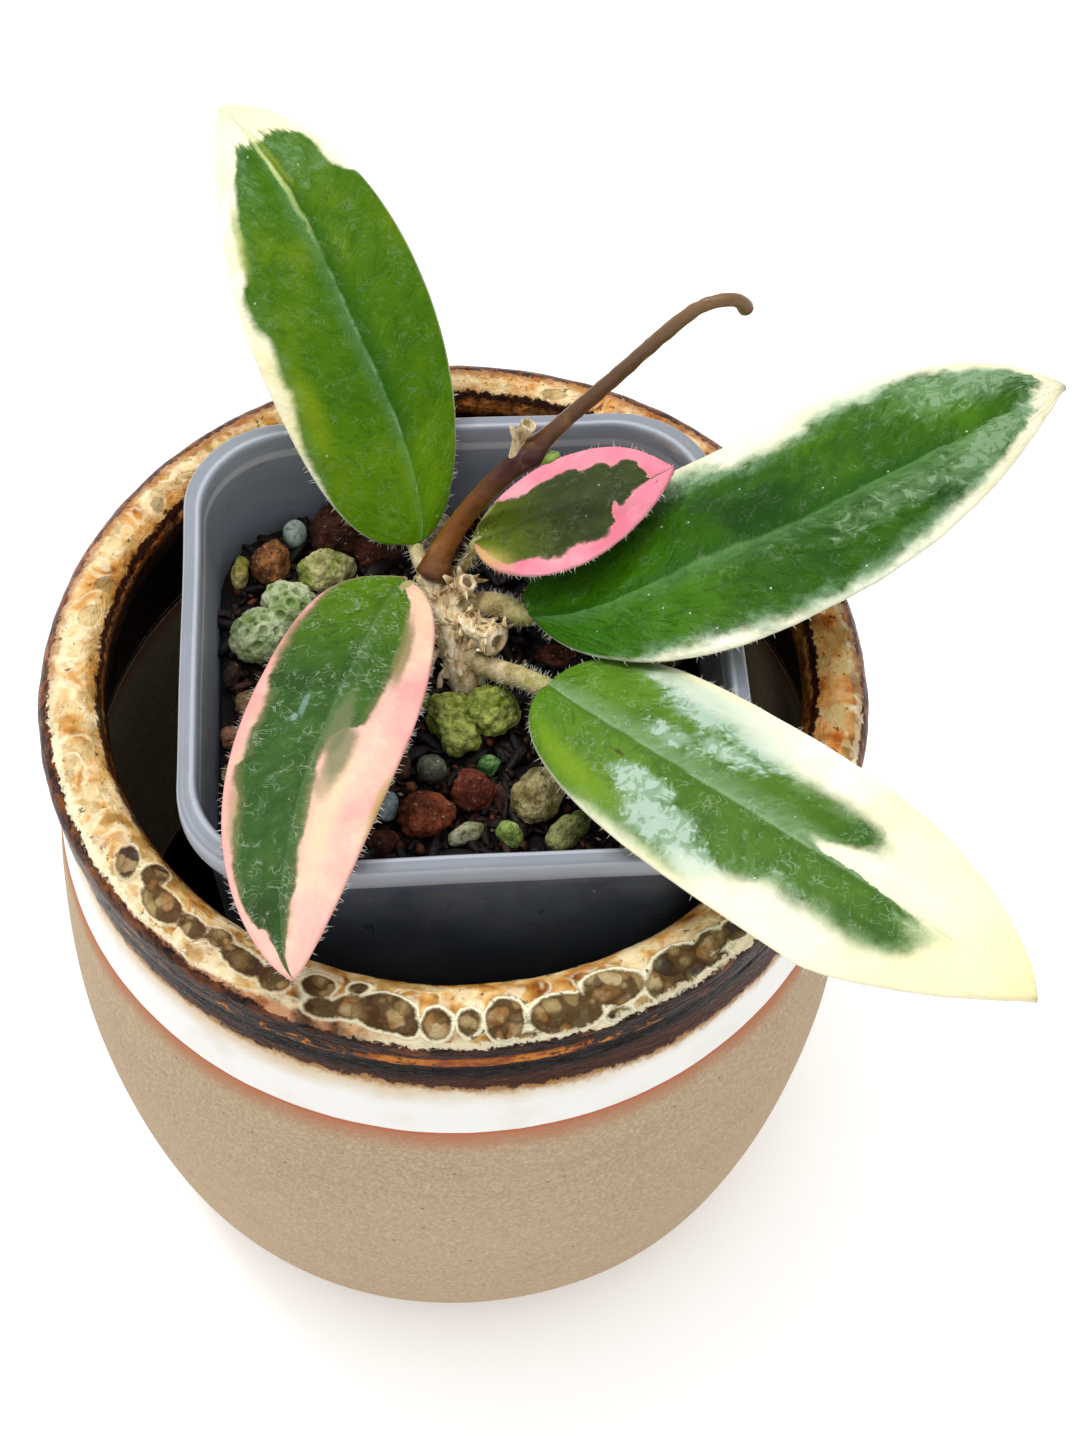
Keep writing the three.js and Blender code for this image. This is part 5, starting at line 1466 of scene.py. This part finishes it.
tree.links.new(times(tree, fine, 0.10, height), gives["Height"])


def leaf_finish(name, leaf):
    """The skin of one blade, with its own traced margins, midrib, frosted patches, and spots of colour
    or of painted highlight.
    """
    material, tree, shader = finish_for(name, Specular_IOR_Level=leaf["shine"])
    length = leaf_axes(leaf)[4]
    on_blade = placed(tree, blade_place, {
        "Length": length, "Width": (leaf["left"][0] + leaf["right"][0]) / 2, "Jag": leaf["jag"],
        "Jag Scale": leaf.get("jag_scale", 330.0)})
    t, s = on_blade["Ragged Along"], on_blade["Ragged Across"]
    inside = minus(tree, s, traced(tree, t, leaf["low"]))
    inside = calc(tree, "MINIMUM", inside, minus(tree, traced(tree, t, leaf["high"]), s))
    if "end" in leaf:
        fingers = clouds(tree, node(tree, "Mapping", on_blade["Streaks"], None, None,
                                    (0.10, 0.8, 1)).outputs[0], 1.0, 3.0)
        reach = times(tree, minus(tree, fingers), leaf.get("fingers", 0.0), t)
        last = minus(tree, traced(tree, s, leaf["end"]), reach)
        inside = calc(tree, "MINIMUM", inside, times(tree, last, 5.0))
    from_rib = minus(tree, on_blade["Across"], traced(tree, on_blade["Along"], leaf["rib"]))
    frost = 0.0
    for patch in leaf["frost"]:
        here = times(tree, spot(tree, t, s, patch[:4]), patch[4])
        frost = here if frost == 0.0 else calc(tree, "MAXIMUM", frost, here)
    skin = placed(tree, blade_skin, {
        "Inside": inside, "From Rib": from_rib, "Along": on_blade["Along"],
        "Across": on_blade["Across"], "Frost": frost, "Streaks": on_blade["Streaks"], **leaf["skin"]})
    colour = skin["Color"]
    # Spots of colour, and on the front left leaf two small spots that are a painted highlight.
    for patch, tone, strength in leaf["spots_and_highlights"]:
        colour = tinted(tree, colour, spot(tree, t, s, patch), strength, tone)
    tree.links.new(colour, shader.inputs["Base Color"])
    tree.links.new(skin["Roughness"], shader.inputs["Roughness"])
    relief(tree, shader, skin["Height"], 0.0006)
    return material


stalk_skin, tree, shader = finish_for("stalk_skin", Roughness=0.6)
place = on_object(tree)
tint = clouds(tree, place, 260.0, 5.0, 0.68)
stalk_colour = ramp(tree, tint, [(0.34, 118, 94, 52), (0.48, 176, 156, 104), (0.64, 214, 200, 158)])
up_stalk = carried(tree, "stalk")
stalk_colour = tinted(tree, stalk_colour, step_up(tree, up_stalk, 0.35, 0.95), 0.55,
                      paint(142, 158, 74))
tree.links.new(stalk_colour, shader.inputs["Base Color"])
relief(tree, shader, tint, 0.0005)
hair_white, tree, shader = finish_for("hair_white", Roughness=0.7)
pale = clouds(tree, on_object(tree), 300.0)
tree.links.new(ramp(tree, pale, [(0.4, 218, 212, 192), (0.6, 248, 246, 236)]),
               shader.inputs["Base Color"])


def grow(name, leaf, seed, *nodes):
    """Makes a leaf and stands it for its node."""
    stand(name, drawn_leaf(leaf, seed), [leaf_finish(name + "_skin", leaf), stalk_skin, hair_white],
          *nodes)


# Back left leaf: the tallest, yellow-green, with a cream tip and a cream left margin.
BACK_LEFT = {
    "base": (-6.7, 23, 119.5), "tip": (-39.7, 75.3, 161), "roll": -9, "arch": 4.5, "cup": -1.5,
    "sway": (-4.68, -0.95),
    "left": (16.4, 0.5, 2.15, 1.81, 0.9, -0.78), "right": (13.1, 0.53, 2.1, 2.33, 0.49, -0.23),
    "petiole": [[-4.6, 17.9, 116.2], [-6.2, 20.6, 117.2], [-7.4, 23.4, 118.3], [-9.2, 26, 119.8]],
    "petiole_radii": [1.4, 1.3, 1.2, 0.7],
    "wrinkle": 0.22, "wrinkle_size": 0.14, "vein": 0.05, "vein_gap": 7.0,
    "margin_hairs": 120, "hairs_to_base": 2.2, "stalk_hairs": 170,
    "low": [(0, -1.3), (0.12, -1.12), (0.15, -1), (0.24, -0.96), (0.32, -0.90), (0.39, -0.82),
            (0.42, -0.85), (0.50, -0.81), (0.54, -0.88), (0.61, -0.91), (0.64, -0.85), (0.70, -0.79),
            (0.76, -0.75), (0.82, -0.69), (0.88, -0.49), (0.92, -0.35)],
    "high": [(0, 1.4), (0.72, 1.3), (0.76, 1.0), (0.79, 0.84), (0.82, 0.78), (0.86, 0.84), (0.90, 0.80),
             (0.93, 0.70)],
    "end": [(-1, 0.90), (-0.35, 0.905), (-0.10, 0.90), (0.03, 0.905), (0.12, 0.90), (0.26, 0.91),
            (0.56, 0.905), (0.78, 0.89), (1, 0.86)],
    "jag": 0.11, "fingers": 0.07, "shine": 0.08,
    "rib": [(0, 0.26), (0.06, 0.22), (0.23, 0.12), (0.35, 0.04), (0.45, -0.01), (0.64, -0.01),
            (0.74, -0.02), (0.82, 0.02), (0.9, 0.07)],
    "frost": [(0.86, 0.40, 0.14, 0.6, 0.8), (0.86, -0.5, 0.2, 0.3, 0.8), (0.60, -0.75, 0.3, 0.2, 0.5),
              (0.40, -0.80, 0.2, 0.15, 0.5)],
    "skin": {
        "Edge": 0.05, "Deep": paint(40, 83, 3), "Mid": paint(63, 103, 3), "Bright": paint(92, 121, 8),
        "Groove Shade": paint(26, 76, 2), "Groove Width": 0.26, "Groove Strength": 0.8,
        "Bank Highlight": paint(84, 126, 82), "Bank Width": 0.16, "Bank Strength": 0.55,
        "Line": paint(122, 156, 112), "Line Strength": 0.6, "Glow": paint(81, 121, 0),
        "Glow Reach": 0.6, "Glow Strength": 0.8, "Veil": paint(92, 128, 78), "Veil Strength": 0.32,
        "Net": paint(132, 162, 128), "Net Strength": 0.2, "Down": 0.08, "Flecks": 0.4,
        "Half Tone": paint(92, 124, 76), "Half Width": 0.16, "Half Strength": 0.6,
        "Margin": paint(240, 232, 200), "Margin Deep": paint(232, 222, 178),
        "Margin Pale": paint(246, 241, 222), "Tip": paint(242, 230, 178), "Tip From": 0.8,
        "Wash": paint(190, 200, 140), "Wash Width": 0.12, "Wash Strength": 0.5,
        "Rim": paint(236, 232, 206), "Under": paint(140, 166, 86), "Gloss": 0.24, "Crinkle": 0.35,
    },
    "spots_and_highlights": [((0.84, 0.03, 0.10, 0.05), paint(196, 206, 128), 0.8),
              ((0.74, 0.01, 0.10, 0.04), paint(170, 190, 116), 0.6),
              ((0.86, 0.13, 0.09, 0.06), paint(132, 148, 10), 0.6),
              ((0.34, -0.72, 0.12, 0.16), paint(130, 150, 14), 0.5),
              ((0.72, -0.80, 0.10, 0.08), paint(132, 152, 30), 0.6),
              ((0.10, 0.4, 0.14, 0.6), paint(96, 140, 4), 0.5)],
}
grow("leaf_back_left_waxy", BACK_LEFT, 21, "leaf_back_left")

# Right leaf: the largest, deep green and wrinkled, silvered along its upper margin and near its
# tip, with thin cream margins.
RIGHT = {
    "base": (10.5, 8.4, 122), "tip": (89.9, 32.3, 151), "roll": -8, "arch": 5, "cup": -3,
    "sway": (-8.72, 4.46),
    "left": (23.46, 0.38, 1.93, 3.45, 0.82, 0.3), "right": (15.25, 0.44, 2.13, 2.91, 1.05, -0.74),
    "petiole": [[-2.6, 14, 113.6], [3.8, 14.2, 115.8], [7.4, 11.6, 118.4], [10.9, 9.1, 120.2],
                [15, 10.4, 121.4]],
    "petiole_radii": [2.1, 2.1, 2.1, 1.7, 0.8],
    "wrinkle": 0.34, "wrinkle_size": 0.15, "vein": 0.08, "vein_gap": 6.5,
    "margin_hairs": 150, "hairs_to_base": 2.0, "stalk_hairs": 420,
    "low": [(0, -1.4), (0.22, -1.2), (0.28, -1.0), (0.31, -0.89), (0.37, -0.87), (0.45, -0.73),
            (0.53, -0.73), (0.59, -0.82), (0.64, -0.85), (0.70, -0.81), (0.75, -0.90), (0.79, -0.91),
            (0.86, -0.82), (0.94, -0.80), (0.97, -0.2)],
    "high": [(0, 1.4), (0.12, 1.1), (0.17, 0.96), (0.24, 0.90), (0.32, 0.86), (0.40, 0.94),
             (0.55, 0.94), (0.60, 0.94), (0.68, 0.89), (0.73, 0.86), (0.79, 0.84), (0.86, 0.80),
             (0.92, 0.62), (0.95, 0.2)],
    "end": [(-1, 0.97), (-0.3, 0.96), (0.0, 0.94), (0.3, 0.93), (0.7, 0.92), (1, 0.92)],
    "jag": 0.22, "shine": 0.08,
    "rib": [(0, 0.26), (0.06, 0.22), (0.20, 0.03), (0.34, -0.04), (0.47, 0), (0.57, 0.01), (0.68, 0.04),
            (0.77, 0.07), (0.87, 0.10), (1, 0.1)],
    "frost": [(0.42, -0.82, 0.26, 0.20, 1.0), (0.62, -0.85, 0.2, 0.20, 0.9),
              (0.84, -0.62, 0.2, 0.5, 1.0), (0.86, 0.45, 0.18, 0.5, 1.2), (0.68, 0.35, 0.22, 0.32, 0.8),
              (0.52, 0.16, 0.3, 0.12, 0.45), (0.36, 0.85, 0.3, 0.15, 0.5)],
    "skin": {
        "Edge": 0.09, "Deep": paint(22, 62, 0), "Mid": paint(42, 84, 0), "Bright": paint(62, 106, 2),
        "Groove Shade": paint(22, 70, 4), "Groove Side": -1.0, "Groove Width": 0.18, "Groove Strength": 0.7,
        "Bank Highlight": paint(92, 132, 78), "Bank Width": 0.26, "Bank Strength": 0.5,
        "Line": paint(96, 140, 70), "Line Strength": 0.35, "Glow": paint(58, 118, 10),
        "Glow Reach": 0.35, "Glow Strength": 0.6, "Veil": paint(116, 148, 104), "Veil Strength": 0.52,
        "Net": paint(170, 194, 166), "Net Strength": 0.25, "Down": 0.07, "Flecks": 0.6,
        "Half Tone": paint(126, 156, 122), "Half Width": 0.20, "Half Strength": 0.85,
        "Margin": paint(236, 232, 206), "Margin Deep": paint(224, 218, 182),
        "Margin Pale": paint(244, 241, 226), "Tip": paint(240, 230, 186), "Tip From": 0.88,
        "Wash": paint(192, 208, 180), "Wash Width": 0.14, "Wash Strength": 0.8,
        "Rim": paint(238, 236, 214), "Under": paint(130, 158, 94), "Gloss": 0.12, "Crinkle": 0.8,
    },
    "spots_and_highlights": [],
}
grow("leaf_right_waxy", RIGHT, 22, "leaf_right")

# Small leaf: dark olive with lobed edges inside a pink margin.
SMALL = {
    "base": (1.9, 18.9, 126), "tip": (32.2, 25.8, 137), "roll": -12, "arch": 1.5, "cup": -1,
    "sway": (-0.76, -0.17),
    "left": (11.8, 0.45, 1.63, 3.29, 1.07, 0.08), "right": (13.5, 0.45, 2.01, 1.84, 0.82, 0.13),
    "petiole": [[-2.8, 17.6, 114.6], [0.2, 19.4, 118.4], [1.9, 19.2, 122.6], [2.6, 19.2, 125.2],
                [4.8, 19.6, 126.2]],
    "petiole_radii": [1.1, 1.1, 1, 0.9, 0.6],
    "wrinkle": 0.16, "wrinkle_size": 0.2, "vein": 0.03, "vein_gap": 5.0,
    "margin_hairs": 150, "hairs_to_base": 1.2, "stalk_hairs": 170,
    "low": [(0, -1.2), (0.11, -1.04), (0.20, -0.68), (0.28, -0.50), (0.36, -0.58), (0.45, -0.58),
            (0.54, -0.62), (0.58, -0.48), (0.68, -0.59), (0.72, -0.44), (0.80, -0.56), (0.84, -0.41),
            (0.86, -0.14), (0.89, 0.17)],
    "high": [(0, 0.25), (0.01, 0.30), (0.07, 0.65), (0.14, 0.81), (0.20, 0.75), (0.27, 0.73),
             (0.33, 0.80), (0.41, 0.80), (0.48, 0.73), (0.54, 0.75), (0.60, 0.84), (0.665, 0.67),
             (0.70, 0.36), (0.73, 0.49), (0.79, 0.34), (0.89, 0.23)],
    "jag": 0.20, "jag_scale": 480.0, "shine": 0.15,
    "rib": [(0, 0.1), (0.5, 0.05), (1, 0.1)],
    "frost": [(0.5, 0.0, 0.5, 0.6, 0.25)],
    "skin": {
        "Edge": 0.035, "Deep": paint(32, 42, 8), "Mid": paint(44, 56, 10), "Bright": paint(60, 74, 18),
        "Groove Shade": paint(34, 46, 14), "Groove Width": 0.16, "Groove Strength": 0.5,
        "Bank Highlight": paint(86, 98, 60), "Bank Width": 0.3, "Bank Strength": 0.15, "Line": paint(52, 60, 30),
        "Line Strength": 0.5, "Glow": paint(98, 116, 14), "Glow Reach": 0.42, "Glow Strength": 0.95,
        "Veil": paint(90, 98, 66), "Veil Strength": 0.2, "Net": paint(130, 136, 110),
        "Net Strength": 0.05, "Down": 0.07, "Flecks": 0.3, "Half Tone": paint(100, 92, 58),
        "Half Width": 0.08, "Half Strength": 0.5, "Margin": paint(224, 132, 148),
        "Margin Deep": paint(212, 112, 132), "Margin Pale": paint(232, 160, 170),
        "Tip": paint(226, 128, 150), "Tip From": 0.7, "Wash": paint(214, 150, 142), "Wash Width": 0.10,
        "Wash Strength": 0.5, "Rim": paint(232, 166, 172), "Under": paint(180, 120, 120), "Gloss": 0.28,
        "Crinkle": 0.3,
    },
    "spots_and_highlights": [((0.9, 0.5, 0.014, 0.05), paint(92, 60, 40), 0.9),
              ((0.02, 0.75, 0.16, 0.4), paint(196, 178, 96), 0.7),
              ((0.05, -0.9, 0.1, 0.16), paint(206, 176, 112), 0.6)],
}
grow("leaf_small_waxy", SMALL, 23, "leaf_small")

# Front left leaf: dark green and downy, with a thin pink left margin and a wide pink and peach
# right side.
FRONT_LEFT = {
    "base": (-8.6, 15.5, 119), "tip": (-19, -62.2, 134), "roll": 6, "arch": 5.5, "cup": -1.5,
    "sway": (-3.25, -1.27),
    "left": (11.44, 0.42, 1.81, 1.84, 0.8, 0.66), "right": (14.03, 0.33, 4, 2.73, 0.66, 2.32),
    "petiole": [[-3.2, 14.8, 115], [-6.2, 15.2, 116.6], [-8.2, 15.2, 118.2], [-9, 12.4, 118.8]],
    "petiole_radii": [1.4, 1.3, 1.2, 0.7],
    "wrinkle": 0.2, "wrinkle_size": 0.14, "vein": 0.04, "vein_gap": 7.0,
    "margin_hairs": 260, "hairs_to_base": 1.1, "stalk_hairs": 170,
    "low": [(0, 0.0), (0.03, -0.25), (0.10, -0.49), (0.20, -0.56), (0.29, -0.55), (0.36, -0.50),
            (0.42, -0.46), (0.455, -0.42), (0.475, -0.22), (0.49, -0.08), (0.51, -0.04), (0.56, 0.01),
            (0.61, -0.03), (0.66, -0.03), (0.72, -0.02), (0.76, 0.02), (0.83, 0.01), (0.87, 0.07),
            (0.94, 0.17), (0.96, 0.29)],
    "high": [(0, 1.1), (0.02, 1), (0.09, 0.94), (0.15, 0.92), (0.27, 0.93), (0.36, 0.86), (0.44, 0.80),
             (0.50, 0.86), (0.56, 0.83), (0.59, 0.92), (0.66, 0.82), (0.75, 0.88), (0.84, 0.91),
             (0.90, 0.83), (0.92, 0.64), (0.96, 0.50)],
    "jag": 0.12, "shine": 0.12,
    "rib": [(0, 0.1), (0.3, 0.05), (0.6, 0.1), (1, 0.3)],
    "frost": [(0.6, 0.4, 0.4, 0.6, 0.3), (0.3, 0.0, 0.2, 0.3, 0.35)],
    "skin": {
        "Edge": 0.035, "Deep": paint(34, 62, 16), "Mid": paint(46, 80, 24), "Bright": paint(66, 98, 34),
        "Groove Shade": paint(36, 66, 18), "Groove Width": 0.16, "Groove Strength": 0.4,
        "Bank Highlight": paint(98, 124, 84), "Bank Width": 0.2, "Bank Strength": 0.2,
        "Line": paint(110, 132, 92), "Line Strength": 0.2, "Glow": paint(84, 120, 14),
        "Glow Reach": 0.34, "Glow Strength": 0.95, "Veil": paint(108, 132, 112), "Veil Strength": 0.45,
        "Net": paint(150, 172, 176), "Net Strength": 0.12, "Down": 0.26, "Flecks": 0.3,
        "Half Tone": paint(120, 116, 80), "Half Width": 0.12, "Half Strength": 0.75,
        "Margin": paint(232, 180, 164), "Margin Deep": paint(226, 158, 152),
        "Margin Pale": paint(238, 202, 172), "Tip": paint(232, 164, 160), "Tip From": 0.82,
        "Wash": paint(178, 150, 120), "Wash Width": 0.12, "Wash Strength": 0.6,
        "Rim": paint(228, 160, 160), "Rim Strength": 0.6, "Under": paint(180, 132, 118), "Gloss": 0.28,
        "Crinkle": 0.3,
    },
    "spots_and_highlights": [((0.10, -0.75, 0.2, 0.3), paint(234, 198, 160), 0.6),
              ((0.68, -0.28, 0.18, 0.3), paint(238, 206, 164), 0.6),
              ((0.50, 1.0, 0.6, 0.14), paint(228, 150, 146), 0.6),
              ((0.40, -0.9, 0.14, 0.3), paint(230, 156, 154), 0.5),
              ((0.47, -0.10, 0.09, 0.16, 0.6), paint(104, 112, 76), 0.85),
              ((0.54, -0.24, 0.085, 0.20, 0.5), paint(106, 114, 80), 0.85),
              ((0.61, -0.16, 0.06, 0.16, 0.4), paint(128, 126, 94), 0.6),
              ((0.64, -0.97, 0.10, 0.08), paint(160, 146, 66), 0.7),
              ((0.25, -0.58, 0.13, 0.13, 0.4), paint(122, 116, 72), 0.85),
              ((0.68, 0.86, 0.16, 0.10), paint(112, 112, 62), 0.55),
              ((0.2, 0.93, 0.12, 0.08), paint(124, 112, 74), 0.6),
              # These two small bluish-white spots are a painted highlight of the leaf's sheen.
              ((0.42, 0.36, 0.035, 0.04, 0.4), paint(140, 172, 168), 0.4),
              ((0.455, 0.42, 0.015, 0.04, 0.4), paint(156, 186, 184), 0.4)],
}
grow("leaf_front_left_waxy", FRONT_LEFT, 24, "leaf_front_left")

# Front right leaf: green and frosted near its base, with green fingers running out into a broad
# cream end.
FRONT_RIGHT = {
    "base": (14, -5.7, 123.5), "tip": (77.9, -66.3, 142), "roll": 2, "arch": 6, "cup": -2,
    "sway": (-2.51, 1.52),
    "left": (16.3, 0.36, 2.65, 2.82, 0.83, 0.14), "right": (15.25, 0.7, 2.53, 1.44, 0.92, 0.21),
    "petiole": [[-0.1, 7.6, 112.6], [5.2, 2.4, 115.4], [10, -2, 119.2], [14.6, -6, 121.8],
                [18, -9, 123.2]],
    "petiole_radii": [1.8, 1.8, 1.7, 1.5, 0.8],
    "wrinkle": 0.22, "wrinkle_size": 0.14, "vein": 0.05, "vein_gap": 7.0,
    "margin_hairs": 120, "hairs_to_base": 2.4, "stalk_hairs": 380,
    "low": [(0, -1.3), (0.10, -1.1), (0.15, -0.94), (0.22, -0.88), (0.30, -0.82), (0.38, -0.72),
            (0.44, -0.62), (0.50, -0.55), (0.56, -0.56), (0.61, -0.57), (0.66, -0.54), (0.70, -0.5),
            (0.9, -0.5)],
    "high": [(0, 1.3), (0.20, 1.1), (0.25, 0.97), (0.31, 0.94), (0.40, 0.93), (0.45, 0.93),
             (0.50, 0.84), (0.53, 0.72), (0.56, 0.66), (0.60, 0.55), (0.64, 0.60), (0.67, 0.55),
             (0.71, 0.58), (0.76, 0.62), (0.82, 0.60), (0.9, 0.6)],
    "end": [(-1, 0.62), (-0.62, 0.63), (-0.52, 0.665), (-0.44, 0.685), (-0.34, 0.685), (-0.25, 0.67),
            (-0.16, 0.64), (-0.08, 0.60), (-0.03, 0.615), (0.0, 0.68), (0.03, 0.76), (0.10, 0.81),
            (0.28, 0.83), (0.45, 0.825), (0.6, 0.81), (1, 0.8)],
    "jag": 0.10, "shine": 0.15,
    "rib": [(0, 0.0), (0.3, 0.0), (0.6, 0.02), (1, 0.05)],
    "frost": [(0.31, 0.42, 0.09, 0.24, 1.2), (0.38, 0.62, 0.11, 0.28, 1.4),
              (0.47, 0.76, 0.09, 0.22, 1.3), (0.20, -0.82, 0.09, 0.16, 1.2),
              (0.30, -0.66, 0.14, 0.28, 1.3), (0.42, -0.58, 0.14, 0.20, 1.3),
              (0.28, -0.22, 0.09, 0.16, 0.9), (0.38, -0.36, 0.10, 0.16, 1.1),
              (0.60, 0.5, 0.12, 0.2, 0.5), (0.80, 0.1, 0.06, 0.2, 0.6)],
    "skin": {
        "Edge": 0.10, "Deep": paint(46, 84, 10), "Mid": paint(68, 104, 20),
        "Bright": paint(88, 122, 34), "Groove Shade": paint(50, 90, 20), "Groove Width": 0.14,
        "Groove Strength": 0.5, "Bank Highlight": paint(128, 158, 118), "Bank Width": 0.26, "Bank Strength": 0.6,
        "Line": paint(142, 166, 124), "Line Strength": 0.45, "Glow": paint(88, 134, 16),
        "Glow Reach": 0.24, "Glow Strength": 0.6, "Veil": paint(138, 166, 136), "Veil Strength": 0.82,
        "Net": paint(182, 202, 190), "Net Strength": 0.55, "Down": 0.20, "Flecks": 0.6,
        "Half Tone": paint(140, 166, 118), "Half Width": 0.2, "Half Strength": 0.75,
        "Margin": paint(240, 234, 206), "Margin Deep": paint(238, 228, 188),
        "Margin Pale": paint(244, 240, 222), "Tip": paint(243, 228, 170), "Tip From": 0.6,
        "Tip Strength": 0.9, "Wash": paint(200, 208, 170), "Wash Width": 0.22, "Wash Strength": 0.7,
        "Rim": paint(242, 236, 212), "Under": paint(196, 204, 160), "Gloss": 0.22, "Crinkle": 0.4,
    },
    "spots_and_highlights": [((0.235, 0.25, 0.012, 0.03), paint(66, 60, 20), 0.9),
              ((0.16, 0.75, 0.16, 0.22), paint(112, 146, 14), 0.8),
              ((0.30, -0.80, 0.18, 0.16, 0.4), paint(206, 216, 198), 0.75),
              ((0.42, -0.66, 0.08, 0.14, 0.3), paint(206, 216, 198), 0.7),
              ((0.50, 0.80, 0.08, 0.14, 0.3), paint(220, 226, 206), 0.6),
              ((0.83, 0.15, 0.05, 0.2), paint(190, 202, 150), 0.6)],
}
grow("leaf_front_right_waxy", FRONT_RIGHT, 25, "leaf_front_right")
